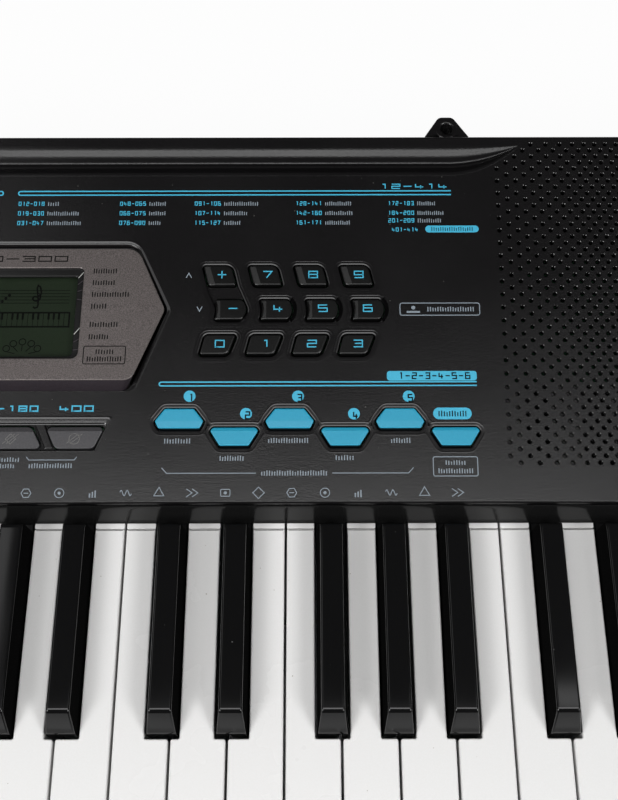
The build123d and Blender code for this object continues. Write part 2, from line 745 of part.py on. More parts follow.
def white_key(k):
    """A white key: a thin shell open below, cut back beside the black keys, with a bored tail."""
    x0 = PITCH * (k - 18) + KEY_GAP / 2
    x1 = PITCH * (k - 17) - KEY_GAP / 2
    left = x0
    right = x1
    for _, centre in black_key_places():
        if x0 - 10 < centre < x0 + 10:
            left = max(left, centre + NOTCH_W / 2)
        if x1 - 10 < centre < x1 + 10:
            right = min(right, centre - NOTCH_W / 2)
    head = box(x0, x1, WHITE_FRONT_Y, NOTCH_Y, WHITE_BOTTOM, WHITE_TOP)
    head = fillet(head.edges().filter_by(Axis.X).group_by(Axis.Y)[0].sort_by(Axis.Z)[-1], 1.2)
    tail = box(left, right, NOTCH_Y, TAIL_Y, WHITE_BOTTOM, WHITE_TOP)
    ledge = box(left, right, LEDGE_Y, TAIL_Y, WHITE_TOP - LEDGE_DROP, WHITE_TOP)
    wall = WHITE_SHELL
    under = WHITE_TOP - 2.0
    head_room = box(x0 + wall, x1 - wall, WHITE_FRONT_Y + wall, NOTCH_Y - wall, WHITE_BOTTOM, under)
    reach = NOTCH_Y - wall
    front_room = box(left + wall, right - wall, reach, PLUNGER_Y - 2, WHITE_BOTTOM, under - 0.7)
    rear_room = box(left + wall, right - wall, PLUNGER_Y + 2, TAIL_Y - wall, WHITE_BOTTOM, under - 0.7)
    bore = rod_x(PIVOT_Y, PIVOT_Z, ROD_BORE_R, x0 - 1, x1 + 1)
    return head + tail - [ledge, head_room, front_room, rear_room, bore]


def black_key(centre):
    """A black key: a tapered cap with a sloping front over a hollow stem with a bored tail."""
    half = BLACK_W / 2
    top_z = WHITE_TOP + BLACK_RISE
    shoulder = WHITE_TOP + 2.6
    side = [
        (BLACK_FRONT_Y, BLACK_BOTTOM),
        (BLACK_FRONT_Y, shoulder),
        (BLACK_TOP_FRONT_Y, top_z),
        (BLACK_REAR_Y, top_z),
        (BLACK_REAR_Y, WHITE_TOP - LEDGE_DROP),
        (TAIL_Y, WHITE_TOP - LEDGE_DROP),
        (TAIL_Y, BLACK_BOTTOM),
    ]
    profile = side_prism(side, [0, 0.8, 1.4, 2.5, 0, 0, 0], centre - half, centre + half)
    top_half = BLACK_TOP_W / 2
    across = [
        (centre - half, BLACK_BOTTOM),
        (centre + half, BLACK_BOTTOM),
        (centre + half, WHITE_TOP),
        (centre + top_half, top_z),
        (centre - top_half, top_z),
        (centre - half, WHITE_TOP),
    ]
    front_view = make_face(Plane.XZ * FilletPolyline(*across, radius=[0, 0, 0, 0.9, 0.9, 0], close=True))
    taper = Pos(0, TAIL_Y + 1, 0) * extrude(front_view, TAIL_Y + 1 - BLACK_FRONT_Y + 1)
    body = profile & taper
    wall = WHITE_SHELL
    front_room = box(
        centre - half + wall,
        centre + half - wall,
        BLACK_FRONT_Y + 3,
        PLUNGER_Y - 2,
        BLACK_BOTTOM,
        WHITE_TOP - 2,
    )
    rear_room = box(
        centre - half + wall,
        centre + half - wall,
        PLUNGER_Y + 2,
        TAIL_Y - wall,
        BLACK_BOTTOM,
        WHITE_TOP - 3,
    )
    bore = rod_x(PIVOT_Y, PIVOT_Z, ROD_BORE_R, centre - half - 1, centre + half + 1)
    return body - [front_room, rear_room, bore]


def key_frame():
    """The chassis under the keys: a tray with a front stop rail, end brackets and lugs for the rod."""
    deck = box(-418.0, 418.0, -156.0, 57.0, FRAME_Z, FRAME_Z + FRAME_T)
    parts = [deck]
    parts.append(box(-418.0, 418.0, -156.0, -146.0, FRAME_Z, 32.3))
    parts.append(box(-418.0, 418.0, -52.0, -49.0, FRAME_Z, 31.0))
    parts.append(box(-418.0, 418.0, -31.0, -28.0, FRAME_Z, 31.0))
    parts.append(box(-424.0, 424.0, 32.0, 57.0, FRAME_Z, FRAME_Z + FRAME_T))
    for side in (-1, 1):
        bracket = box(420.0, 424.0, 36.0, 57.0, FRAME_Z, PIVOT_Z + 5)
        parts.append(bracket if side > 0 else mirror(bracket, Plane.YZ))
    lug_shift = (BLACK_CENTRES["cs"] + BLACK_CENTRES["ds"]) / 2
    for octave in range(OCTAVES):
        x = -PITCH * 18 + OCTAVE * octave + lug_shift
        parts.append(box(x - 3, x + 3, PIVOT_Y - 4, PIVOT_Y + 4, FRAME_Z, PIVOT_Z + 3))
    frame = Part() + parts
    return frame - rod_x(PIVOT_Y, PIVOT_Z, ROD_R, -430, 430)


def key_pivot_rod():
    """The steel rod that every key turns on."""
    return rod_x(PIVOT_Y, PIVOT_Z, ROD_R, -424.0, 424.0)


def key_contact_strip():
    """The contact board under the keys with its rubber sheet of switch domes."""
    board = box(-416.0, 416.0, -53.0, -27.0, 31.0, 32.6)
    sheet = box(-415.0, 415.0, -50.0, -30.0, 32.6, 33.4)
    centres = [PITCH * (k - 17.5) for k in range(36)] + [centre for _, centre in black_key_places()]
    domes = [Pos(x, PLUNGER_Y, 35.4) * Cone(3.6, 2.4, 4.2) for x in centres]
    return board, sheet + domes


def button_boards():
    """Two circuit boards behind the panel with a switch under each button."""
    solids = []
    right = Pos(160.0, 66.0) * Rectangle(148.0, 116.0)
    left = Pos(-160.0, 66.0) * Rectangle(148.0, 116.0)
    middle = Pos(20.2, 29.0) * Rectangle(96.0, 16.0)
    for sketch in (right, left, middle):
        solids.append(on_panel(sketch, BOARD_H - BOARD_T, BOARD_H))
    sketches = [sketch for _, sketch in number_caps()] + style_caps()
    sketches += [pad_cap(i) for i in range(6)] + [mirrored_pad(i) for i in range(6)]
    sketches += [function_cap(name) for name in FUNCTION_X]
    sketches.append(Pos(POWER_X, POWER_T) * Circle(POWER_R))
    for sketch in sketches:
        middle_point = sketch.bounding_box().center()
        switch = Pos(middle_point.X, middle_point.Y) * Rectangle(6.0, 6.0)
        solids.append(on_panel(switch, BOARD_H, SWITCH_TOP_H))
    solids.append(on_panel(Pos(VOLUME_X, VOLUME_T) * Rectangle(16.0, 14.0), BOARD_H, BOARD_H + 2.4))
    return solids


def main_board():
    """The main circuit board on posts in the floor, with its chips and capacitors."""
    z = MAIN_Z
    solids = [box(MAIN_X0, MAIN_X1, 72.0, 148.0, z, z + BOARD_T)]
    chips = [(220.0, 100.0, 22.0, 22.0, 2.2), (265.0, 95.0, 16.0, 10.0, 2.0), (295.0, 120.0, 14.0, 20.0, 2.0)]
    for x, y, w, d, tall in chips:
        top = z + BOARD_T + tall
        solids.append(box(x - w / 2, x + w / 2, y - d / 2, y + d / 2, z + BOARD_T, top))
    for x, y in ((245.0, 130.0), (262.0, 132.0), (315.0, 88.0)):
        solids.append(rod_z(x, y, 5.0, z + BOARD_T, z + BOARD_T + 14.0))
    solids.append(box(200.0, 215.0, 126.0, 142.0, z + BOARD_T, z + BOARD_T + 18.0))
    return solids


def speaker(side):
    """A loudspeaker under the panel: mounting ring, cone, dust cap, basket and magnet."""
    ring = SPEAKER_R
    points = [
        (0, -14.5),
        (12.0, -17.0),
        (12.5, -18.5),
        (38.0, -7.0),
        (41.0, -4.8),
        (44.0, -6.5),
        (46.0, -4.0),
        (46.0, -WALL),
        (ring, -WALL),
        (ring, -WALL - 3.2),
        (43.0, -WALL - 6.0),
        (27.0, -26.0),
        (27.0, -40.0),
        (0, -40.0),
    ]
    section = make_face(Plane.XZ * Polyline(*points, close=True))
    return PANEL * Pos(side * SPEAKER_X, SPEAKER_T, 0) * revolve(section, Axis.Z)


def rear_jacks():
    """The socket board behind the rear wall: two large jacks, a small one, a data port and the power inlet."""
    face_y = BACK_Y + 0.2
    board_top = 13.6
    solids = [box(-342.0, -188.0, 126.0, 155.0, 12.0, board_top)]
    for x, bore, deep in SOCKETS.values():
        width = bore * 2 + 6.0
        block = box(x - width / 2, x + width / 2, 134.0, 155.0, board_top, SOCKET_Z + width / 2)
        nose = rod_y(x, SOCKET_Z, bore + 2.3, 155.0, face_y)
        solids.append(block + nose - rod_y(x, SOCKET_Z, bore, face_y - deep, face_y + 1))
    port = box(USB_X - 6.5, USB_X + 6.5, 144.0, face_y, board_top, SOCKET_Z + 6.0)
    slot = box(
        USB_X - USB_W / 2,
        USB_X + USB_W / 2,
        face_y - USB_DEEP,
        face_y + 1,
        SOCKET_Z - USB_H / 2,
        SOCKET_Z + USB_H / 2,
    )
    port_room = box(USB_X - 8, USB_X + 8, 155.0, face_y + 1, board_top - 1, SOCKET_Z - 6.0)
    solids.append(port - slot - port_room)
    inlet = box(INLET_X - 6.0, INLET_X + 6.0, 142.0, 155.0, board_top, SOCKET_Z + 6.0)
    inlet = inlet + rod_y(INLET_X, SOCKET_Z, INLET_R + 2.3, 155.0, face_y)
    inlet = inlet - rod_y(INLET_X, SOCKET_Z, INLET_R, face_y - INLET_DEEP, face_y + 1)
    solids.append(inlet + rod_y(INLET_X, SOCKET_Z, 0.95, face_y - INLET_DEEP - 1, face_y - 1.5))
    return solids


def rubber_feet():
    """Round pads under the floor."""
    pads = []
    for x, y in mirrored(FEET):
        pad = rod_z(x, y, FOOT_R, 0, FOOT_H)
        pads.append(chamfer(pad.faces().sort_by(Axis.Z)[0].edges(), 0.8))
    return pads


def case_screws():
    """The long screws that join the two shells, with a cross in each head."""
    screws = []
    for x, y in mirrored(SCREWS):
        head = rod_z(x, y, 3.2, SCREW_HEAD_Z - 2.2, SCREW_HEAD_Z)
        slot_top = SCREW_HEAD_Z - 1.2
        cross = [
            box(x - 1.9, x + 1.9, y - 0.4, y + 0.4, SCREW_HEAD_Z - 3, slot_top),
            box(x - 0.4, x + 0.4, y - 1.9, y + 1.9, SCREW_HEAD_Z - 3, slot_top),
        ]
        shank = rod_z(x, y, SCREW_R, SCREW_HEAD_Z, SCREW_HEAD_Z + SCREW_LENGTH)
        screws.append(head + shank - cross)
    return screws


def power_button():
    """The round power button."""
    return button_solid(Pos(POWER_X, POWER_T) * Circle(POWER_R), NUMBER_TOP_H)


def volume_knob():
    """The volume knob: a fluted drum with a pointer groove on a spindle."""
    drum = extrude(Circle(VOLUME_R), VOLUME_H)
    drum = chamfer(drum.faces().sort_by(Axis.Z)[-1].edges(), 1.0)
    flutes = [Rot(0, 0, 20 * i) * Pos(VOLUME_R + 0.9, 0) * Circle(1.5) for i in range(18)]
    drum = drum - extrude(Sketch() + flutes, VOLUME_H + 1)
    drum = drum - Pos(0, VOLUME_R / 2 + 1, VOLUME_H) * Box(1.0, VOLUME_R, 1.0)
    spindle = Pos(0, 0, -2.7) * Cylinder(3.0, 5.4)
    return PANEL * Pos(VOLUME_X, VOLUME_T, 0.4) * (drum + spindle)


def left_panel_buttons():
    """The pads and style buttons on the left of the panel."""
    solids = [button_solid(mirrored_pad(i), PAD_TOP_H) for i in range(6)]
    solids += [button_solid(sketch, NUMBER_TOP_H) for sketch in style_caps()]
    return solids


def save(name, shape):
    """Write one sub-part, which may hold several separate solids."""
    solids = []
    for item in shape if isinstance(shape, (list, tuple)) else [shape]:
        solids += item.solids()
    export_step(Compound(children=solids) if len(solids) > 1 else solids[0], f"parts/{name}.step")


def save_keys():
    """Write the middle keys one by one, and the outer ones as groups."""
    whites = white_key_names()
    first = whites.index("b4")
    last = whites.index("c6")
    for k in range(first, last + 1):
        save(f"white_key_{whites[k]}", white_key(k))
    save("low_white_keys", [white_key(k) for k in range(first)])
    save("high_white_keys", [white_key(k) for k in range(last + 1, len(whites))])
    blacks = black_key_places()
    names = [name for name, _ in blacks]
    first = names.index("as4")
    last = names.index("as5")
    for name, centre in blacks[first : last + 1]:
        save(f"black_key_{name}", black_key(centre))
    save("low_black_keys", [black_key(centre) for _, centre in blacks[:first]])
    save("high_black_keys", [black_key(centre) for _, centre in blacks[last + 1 :]])


def save_buttons():
    """Write every pushbutton and the knob."""
    for name, sketch in number_caps():
        save(name, button_solid(sketch, NUMBER_TOP_H))
    for i in range(6):
        save(f"voice_pad_{i + 1}", button_solid(pad_cap(i), PAD_TOP_H))
    for name in FUNCTION_X:
        save(name, button_solid(function_cap(name), FUNCTION_TOP_H))
    save("left_panel_buttons", left_panel_buttons())
    save("power_button", power_button())
    save("volume_knob", volume_knob())


os.makedirs("parts", exist_ok=True)
save("upper_case", upper_case())
save("lower_case", lower_case())
save("battery_cover", battery_cover())
save("fallboard_strip", fallboard_strip())
save("display_bezel", display_bezel())
save("display_window", display_window())
save("lcd_module", lcd_module())
save("key_frame", key_frame())
save("key_pivot_rod", key_pivot_rod())
save("key_contact_strip", key_contact_strip())
save("button_boards", button_boards())
save("main_board", main_board())
save("left_speaker", speaker(-1))
save("right_speaker", speaker(1))
save("rear_jacks", rear_jacks())
save("rubber_feet", rubber_feet())
save("case_screws", case_screws())
save_keys()
save_buttons()
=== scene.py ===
import json
import math

import bmesh
import bpy
import numpy as np
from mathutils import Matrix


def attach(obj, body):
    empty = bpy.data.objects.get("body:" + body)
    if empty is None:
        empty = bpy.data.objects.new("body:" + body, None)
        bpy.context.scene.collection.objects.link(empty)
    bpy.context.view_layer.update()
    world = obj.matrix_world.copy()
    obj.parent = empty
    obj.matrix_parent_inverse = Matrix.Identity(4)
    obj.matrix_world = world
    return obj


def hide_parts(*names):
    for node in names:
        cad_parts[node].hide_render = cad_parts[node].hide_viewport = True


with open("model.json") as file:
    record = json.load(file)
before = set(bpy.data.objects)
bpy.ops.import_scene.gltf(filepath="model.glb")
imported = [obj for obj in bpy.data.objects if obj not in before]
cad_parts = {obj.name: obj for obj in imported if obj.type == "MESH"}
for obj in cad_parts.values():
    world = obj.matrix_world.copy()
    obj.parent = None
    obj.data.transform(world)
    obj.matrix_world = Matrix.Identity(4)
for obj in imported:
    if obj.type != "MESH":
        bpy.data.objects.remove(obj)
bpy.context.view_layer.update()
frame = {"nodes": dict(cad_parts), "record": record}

# Sizes are in millimetres until a point is placed, which puts it in metres.
MM = 0.001
CASE = "case"

# Control panel: x runs along the keys, t up the slope from its front edge, h off its surface
PANEL_TILT = math.radians(9.2)
PANEL_DEPTH = 174.0
PANEL_FRONT_Y = -12.0
PANEL_REAR_Z = 103.0
PANEL_SIN = math.sin(PANEL_TILT)
PANEL_COS = math.cos(PANEL_TILT)
PANEL_FRONT_Z = PANEL_REAR_Z - PANEL_DEPTH * PANEL_SIN
PANEL_T = 2.8
OUTER_X = 474.5

# Keys
OCTAVE = 163.1
PITCH = OCTAVE / 7
KEY_GAP = 1.1
WHITE_TOP = 62.5
WHITE_BOTTOM = 42.5
WHITE_FRONT_Y = -161.0
WHITE_EDGE = 0.7
LEDGE_Y = -19.3
LEDGE_DROP = 0.7
LEDGE_GROOVE = 0.5
NOTCH_Y = -108.0
NOTCH_W = 14.3
TAIL_Y = 51.0
BLACK_HALF = 6.2
BLACK_TOP_HALF = 4.65
BLACK_TOP = 74.5
BLACK_BOTTOM = 46.0
BLACK_FRONT_Y = -106.5
BLACK_SHOULDER = 65.1
BLACK_SLOPE_Y = -99.0
BLACK_REAR_Y = -20.0
BLACK_EDGE = 0.9
KEY_BED_HALF = 420.2
BLACK_CENTRES = {"cs": 20.3, "ds": 48.5, "fs": 89.5, "gs": 116.2, "as": 142.8}

# Music ledge
TROUGH_FRONT_T = 154.8
TROUGH_VALLEY_T = 160.0
TROUGH_REAR_T = 169.5
TROUGH_DEPTH = 4.5
TROUGH_HALF = 216.0
LEDGE_STEP = (3.6, 1.4)
TROUGH_TIP = 248.4
TAB_X = 215.4
TAB_TOP = 99.5
STAND_HOLE_Y = 166.9
STAND_HOLE_R = 3.0

# Display plate
PLATE_REAR_T = 118.2
PLATE_REAR_H = -2.0
PLATE_FRONT_T = 55.5
PLATE_FRONT_H = 5.0
PLATE_RISE = (PLATE_FRONT_H - PLATE_REAR_H) / (PLATE_REAR_T - PLATE_FRONT_T)
PLATE_SIN = math.sin(math.atan(PLATE_RISE))
PLATE_COS = math.cos(math.atan(PLATE_RISE))
APEX_T = 88.0
PLATE_HEX = [(-72.1, 53.8), (72.1, 53.8), (85.5, APEX_T), (71.9, 118.8), (-71.9, 118.8), (-85.5, APEX_T)]
FOOT_HEX = [(-69.6, 50.4), (69.6, 50.4), (84.6, APEX_T), (70.9, 118.2), (-70.9, 118.2), (-84.6, APEX_T)]
GAP_HEX = [(-70.2, 50.3), (70.2, 50.3), (86.0, APEX_T), (72.2, 119.2), (-72.2, 119.2), (-86.0, APEX_T)]
RIM_HEX = [(-72.9, 50.0), (72.9, 50.0), (88.3, APEX_T), (72.5, 121.5), (-72.5, 121.5), (-88.3, APEX_T)]
HEX_RADII = [5.0, 5.0, 4.0, 8.0, 8.0, 4.0]
RIM_RADII = [5.0, 5.0, 5.0, 9.0, 9.0, 5.0]
SCREEN_X = 48.0
SCREEN_REAR_T = 108.9
SCREEN_FRONT_T = 64.1
GLASS_SINK = 2.2
SCREEN_SINK = 4.2

# Buttons
CAP_BASE = -5.0
NUMBER_W = 13.2
NUMBER_LEAN = 2.5
NUMBER_PITCH = 20.6
NUMBER_TOP = 1.5
FRONT_FLARE = 1.2
NUMBER_TRIM = 0.3
NUMBER_SHIFT = (-0.35, -0.55, -0.4)
ROW_REAR = (99.5, 109.6)
ROW_MIDDLE = (83.3, 93.4)
ROW_FRONT = (66.8, 76.6)
REAR_X = 101.9
MIDDLE_X = 107.7
FRONT_X = 101.0
PAD_X0 = 93.3
PAD_PITCH = 24.12
PAD_TIP = 11.2
PAD_REAR = (32.4, 42.2, 36.2)
PAD_FRONT = (24.6, 33.8, 32.0)
PAD_SHORT = 6.6
PAD_LONG = 9.3
PAD_TOP = 1.7
FUNCTION_X = {"song_button": -7.6, "rhythm_button": 20.2, "tone_button": 47.95}
FUNCTION_T = (24.1, 33.9)
FUNCTION_NARROW = 8.3
FUNCTION_WIDE = 12.9
FUNCTION_TOP = 0.7
STYLE_X = [-170.0, -148.0, -126.0, -104.0]
STYLE_T = [72.0, 92.0]
STYLE_W = 16.0
STYLE_D = 9.0
POWER = (-205.0, 70.0)
POWER_R = 6.0
VOLUME = (-205.0, 95.0)
VOLUME_R = 10.0
VOLUME_H = 9.0

# Loudspeaker perforation: rows up the panel, columns wider apart near the panel's printed middle
HOLE_R = 1.0
HOLE_EDGE = 0.26
GRILLE_X0 = 232.9
GRILLE_STEP0 = 4.6
GRILLE_STEP1 = 2.5
GRILLE_SHRINK = 0.955
GRILLE_X1 = 456.0
GRILLE_T0 = 17.6
GRILLE_PITCH = 3.113
GRILLE_ROWS = 50
# Beside the music ledge's tip each row beyond this one begins a column further out
TIP_ROW = 45

# Printing
PRINT_T = 0.05


def panel(x, t, h=0.0):
    """Panel place to frame place: t along the slope, h along its normal, then to metres."""
    x, t, h = np.broadcast_arrays(np.asarray(x, float), t, h)
    y = PANEL_FRONT_Y + t * PANEL_COS - h * PANEL_SIN
    z = PANEL_FRONT_Z + t * PANEL_SIN + h * PANEL_COS
    return np.stack([x, y, z], -1) * MM


def plate(x, t, h=0.0):
    """Place on the display plate: above panel place t on the plate, then h along the plate's normal."""
    rise = PLATE_REAR_H + (PLATE_REAR_T - t) * PLATE_RISE
    return panel(x, t + h * PLATE_SIN, rise + h * PLATE_COS)


def level(x, y, z):
    """Frame place of points in plan and height."""
    x, y, z = np.broadcast_arrays(np.asarray(x, float), y, z)
    return np.stack([x, y, z], -1) * MM


def rounded(corners, radii, steps=5):
    """Outline of arcs: each corner's arc has its centre on the bisector, at radius over sine of half the angle."""
    corners = np.asarray(corners, float)
    arcs = []
    for i, radius in enumerate(radii):
        point = corners[i]
        back = corners[i - 1] - point
        ahead = corners[(i + 1) % len(corners)] - point
        back /= np.hypot(*back)
        ahead /= np.hypot(*ahead)
        bisector = back + ahead
        size = np.hypot(*bisector)
        if size < 1e-6:
            arcs.append(point + np.linspace(-radius, radius, steps + 1)[:, None] * ahead)
            continue
        half = math.acos(max(-1.0, min(1.0, float(back @ ahead)))) / 2
        centre = point + bisector / size * radius / math.sin(half)
        reach = radius / math.tan(half)
        start = point + back * reach - centre
        end = point + ahead * reach - centre
        first = math.atan2(start[1], start[0])
        turn = (math.atan2(end[1], end[0]) - first + math.pi) % (2 * math.pi) - math.pi
        angles = first + turn * np.linspace(0, 1, steps + 1)
        arcs.append(centre + radius * np.stack([np.cos(angles), np.sin(angles)], -1))
    return np.concatenate(arcs)


def swell(loop, distance):
    """Outline moved outward: each point goes along its mitre, the sum of both side normals over one plus their product."""
    ahead = np.roll(loop, -1, 0) - loop
    ahead /= np.maximum(np.linalg.norm(ahead, axis=1, keepdims=True), 1e-9)
    back = np.roll(ahead, 1, 0)
    normal_a = np.stack([ahead[:, 1], -ahead[:, 0]], -1)
    normal_b = np.stack([back[:, 1], -back[:, 0]], -1)
    share = 1 + (normal_a * normal_b).sum(1, keepdims=True)
    return loop + distance * (normal_a + normal_b) / np.maximum(share, 0.3)


def flipped(loop):
    """The outline's mirror image in x, turned round so that it still runs anticlockwise."""
    return loop[::-1] * np.array([-1.0, 1.0])


def circle(x, t, radius, count=40):
    """Points at equal angles about (x, t)."""
    angles = np.linspace(0, 2 * math.pi, count, endpoint=False)
    return np.stack([x + radius * np.cos(angles), t + radius * np.sin(angles)], -1)


class Form:
    """Points and faces of one piece while it is made: finish numbers each face's material, creases are sharp edges."""

    def __init__(self):
        self.points = []
        self.faces = []
        self.finish = []
        self.creases = []
        self.count = 0

    def add(self, points, faces, finish=0):
        points = np.asarray(points, float).reshape(-1, 3)
        self.points.append(points)
        self.faces += [[i + self.count for i in face] for face in faces]
        self.finish += [finish] * len(faces)
        self.count += len(points)


def rings(form, loops, first=False, last=True, finish=0):
    """Surface through closed loops of equal count: point i of a ring joins point i of the next."""
    loops = np.asarray(loops)
    count, size = loops.shape[:2]
    row = np.arange(count - 1)[:, None] * size
    here = np.arange(size)[None]
    there = (here + 1) % size
    quads = np.stack([row + here, row + there, row + size + there, row + size + here], -1)
    faces = quads.reshape(-1, 4).tolist()
    if first:
        faces.append(list(range(size))[::-1])
    if last:
        faces.append(list(range((count - 1) * size, count * size)))
    form.add(loops, faces)
    if np.ndim(finish):
        spread = np.tile(finish, count - 1).tolist()
        form.finish[-len(faces) :] = spread + [0] * (len(faces) - len(spread))
    else:
        form.finish[-len(faces) :] = [finish] * len(faces)


def stack(form, loop, profile, place=panel, first=False, last=True, finish=0):
    """Rings of one outline: each step of the profile is how far out it is moved and its height."""
    loops = []
    for distance, height in profile:
        ring = swell(loop, distance)
        loops.append(place(ring[:, 0], ring[:, 1], height))
    rings(form, loops, first, last, finish)


def slab(form, loop, place=panel, base=0.0, top=PRINT_T, finish=0):
    """A flat outline with a small thickness."""
    stack(form, loop, [(0, base), (0, top)], place, finish=finish)


def creased(loop, start, end):
    """The outline with the two points where a line crosses it, begun at one of them, and the other's place in it."""
    along = np.subtract(end, start)
    side = along[0] * (loop[:, 1] - start[1]) - along[1] * (loop[:, 0] - start[0])
    after = np.roll(side, -1)
    hits = np.flatnonzero(side * after < 0)[:2]
    share = side[hits] / (side[hits] - after[hits])
    points = loop[hits] + share[:, None] * (np.roll(loop, -1, 0)[hits] - loop[hits])
    loop = np.insert(loop, hits + 1, points, axis=0)
    first = hits[0] + 1
    return np.roll(loop, -first, 0), int(hits[1] + 2 - first)


def cap(form, loop, height, crease=None, fall=0.0, bevel=0.5, finish=0, facet=None, wall=None):
    """Button cap: a wall, an elliptic edge twice as wide as deep and a flat top; left of the crease line
    the top falls by a share of the distance from it, and may have a finish of its own."""
    middle = 0
    if crease:
        loop, middle = creased(loop, *crease)

    def top(ring):
        """Height of the top over the panel."""
        if not crease:
            return np.full(len(ring), height)
        along = np.subtract(crease[1], crease[0])
        away = along[0] * (ring[:, 1] - crease[0][1]) - along[1] * (ring[:, 0] - crease[0][0])
        return height - fall * np.maximum(0, away / np.hypot(*along))

    loops = [panel(loop[:, 0], loop[:, 1], CAP_BASE)]
    for angle in np.radians([0, 22.5, 45, 67.5, 90]):
        ring = swell(loop, -bevel * (1 - math.cos(angle)))
        loops.append(panel(ring[:, 0], ring[:, 1], top(ring) - bevel / 2 * (1 - math.sin(angle))))
    # A wall finish of its own, where one is given, is a darker painted shade.
    rings(form, loops[:2], last=False, finish=finish if wall is None else wall)
    rings(form, loops[1:], last=not crease, finish=finish)
    if crease:
        size = len(loop)
        start = form.count - size
        form.faces.append(list(range(start, start + middle + 1)))
        form.faces.append([*range(start + middle, start + size), start])
        # A facet finish of its own, where one is given, is a lighter painted highlight.
        form.finish += [finish, finish if facet is None else facet]
        form.creases.append((start, start + middle))
        for ring in range(len(loops) - 2):
            form.creases.append((start - size * ring, start - size * (ring + 1)))
            form.creases.append((start - size * ring + middle, start - size * (ring + 1) + middle))


def strip(form, path, width, place=panel, base=0.0, top=PRINT_T, closed=False, finish=0):
    """A line of even width: both edges lie half the width along the mitre from the path."""
    path = np.asarray(path, float)
    ahead = (np.roll(path, -1, 0) if closed else np.vstack([path[1:], 2 * path[-1] - path[-2]])) - path
    ahead /= np.maximum(np.linalg.norm(ahead, axis=1, keepdims=True), 1e-9)
    back = np.roll(ahead, 1, 0)
    if not closed:
        back[0] = ahead[0]
    side = np.stack([-ahead[:, 1] - back[:, 1], ahead[:, 0] + back[:, 0]], -1)
    side /= np.maximum(1 + (ahead * back).sum(1, keepdims=True), 0.35)
    left = path + side * width / 2
    right = path - side * width / 2
    rows = [place(left[:, 0], left[:, 1], base), place(left[:, 0], left[:, 1], top)]
    rows += [place(right[:, 0], right[:, 1], top), place(right[:, 0], right[:, 1], base)]
    section = np.stack(rows, 1)
    count = len(path)
    last = count if closed else count - 1
    here = np.arange(last)[:, None] * 4
    there = (np.arange(last)[:, None] + 1) % count * 4
    edge = np.arange(3)[None]
    quads = np.stack([here + edge, here + edge + 1, there + edge + 1, there + edge], -1)
    faces = quads.reshape(-1, 4)[:, ::-1].tolist()
    if not closed:
        faces += [[0, 1, 2, 3], [4 * count - 1, 4 * count - 2, 4 * count - 3, 4 * count - 4]]
    form.add(section, faces, finish)


# Strokes of the numerals, in a box one wide and one high
STROKES = {
    "0": [[(0, 0), (1, 0), (1, 1), (0, 1), (0, 0), (0.3, 0)]],
    "1": [[(0.3, 1), (0.62, 1), (0.62, 0)]],
    "2": [[(0, 1), (1, 1), (1, 0.52), (0, 0.52), (0, 0), (1, 0)]],
    "3": [[(0, 1), (1, 1), (1, 0), (0, 0)], [(0.15, 0.52), (1, 0.52)]],
    "4": [[(0.05, 1), (0.05, 0.36), (1, 0.36)], [(0.68, 0.72), (0.68, 0)]],
    "5": [[(1, 1), (0, 1), (0, 0.54), (1, 0.54), (1, 0), (0, 0)]],
    "6": [[(1, 1), (0, 1), (0, 0), (1, 0), (1, 0.54), (0, 0.54)]],
    "7": [[(0, 1), (1, 1), (0.38, 0)]],
    "8": [[(0, 0), (1, 0), (1, 1), (0, 1), (0, 0), (0.3, 0)], [(0, 0.52), (1, 0.52)]],
    "9": [[(1, 0.46), (0, 0.46), (0, 1), (1, 1), (1, 0), (0, 0)]],
    "+": [[(0, 0.5), (1, 0.5)], [(0.5, -0.08), (0.5, 1.08)]],
    "-": [[(0, 0.5), (1, 0.5)]],
}


def numerals(form, text, x, t, width, height, stroke, gap=0.5, place=panel, base=0.0, finish=0):
    """Numbers written as strokes, the first one's left edge at x, the base line at t."""
    for letter in text:
        for path in STROKES.get(letter, []):
            points = np.array(path) * [width - stroke, height - stroke] + [x + stroke / 2, t + stroke / 2]
            strip(form, points, stroke, place, base, base + PRINT_T, finish=finish)
        x += width + gap
    return x


def tally(form, x0, x1, t, height, place=panel, base=0.0, finish=0, pitch=1.1, stroke=0.5):
    """A row of small upright bars of uneven height, where a label is printed."""
    count = max(2, int((x1 - x0) / pitch))
    for i in range(count):
        x = x0 + (i + 0.5) * (x1 - x0) / count
        tall = height * (0.7 + 0.3 * abs(math.sin(2.4 * i + x0)))
        strip(form, [(x, t), (x, t + tall)], stroke, place, base, base + PRINT_T, finish=finish)


def make(form, name, body, finishes, replaces=(), sharp=34.0):
    """Put a finished form into the scene as one piece that rides on a body."""
    mesh = bpy.data.meshes.new(name)
    mesh.from_pydata(np.concatenate(form.points).tolist(), [], form.faces)
    for finish in finishes:
        mesh.materials.append(finish)
    mesh.polygons.foreach_set("material_index", np.array(form.finish, np.int32))
    mesh.polygons.foreach_set("use_smooth", np.ones(len(mesh.polygons), bool))
    mesh.set_sharp_from_angle(angle=math.radians(sharp))
    if form.creases:
        ends = np.empty(len(mesh.edges) * 2, np.int32)
        mesh.edges.foreach_get("vertices", ends)
        ends = np.sort(ends.reshape(-1, 2), 1)
        hard = np.empty(len(mesh.edges), bool)
        mesh.edges.foreach_get("use_edge_sharp", hard)
        creases = np.sort(np.array(form.creases), 1)
        hard |= np.isin(ends @ [form.count, 1], creases @ [form.count, 1])
        mesh.edges.foreach_set("use_edge_sharp", hard)
    piece = bpy.data.objects.new(name, mesh)
    bpy.context.scene.collection.objects.link(piece)
    even = piece.modifiers.new("even_normals", "WEIGHTED_NORMAL")
    even.keep_sharp = True
    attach(piece, body)
    if replaces:
        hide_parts(*replaces)
    return piece


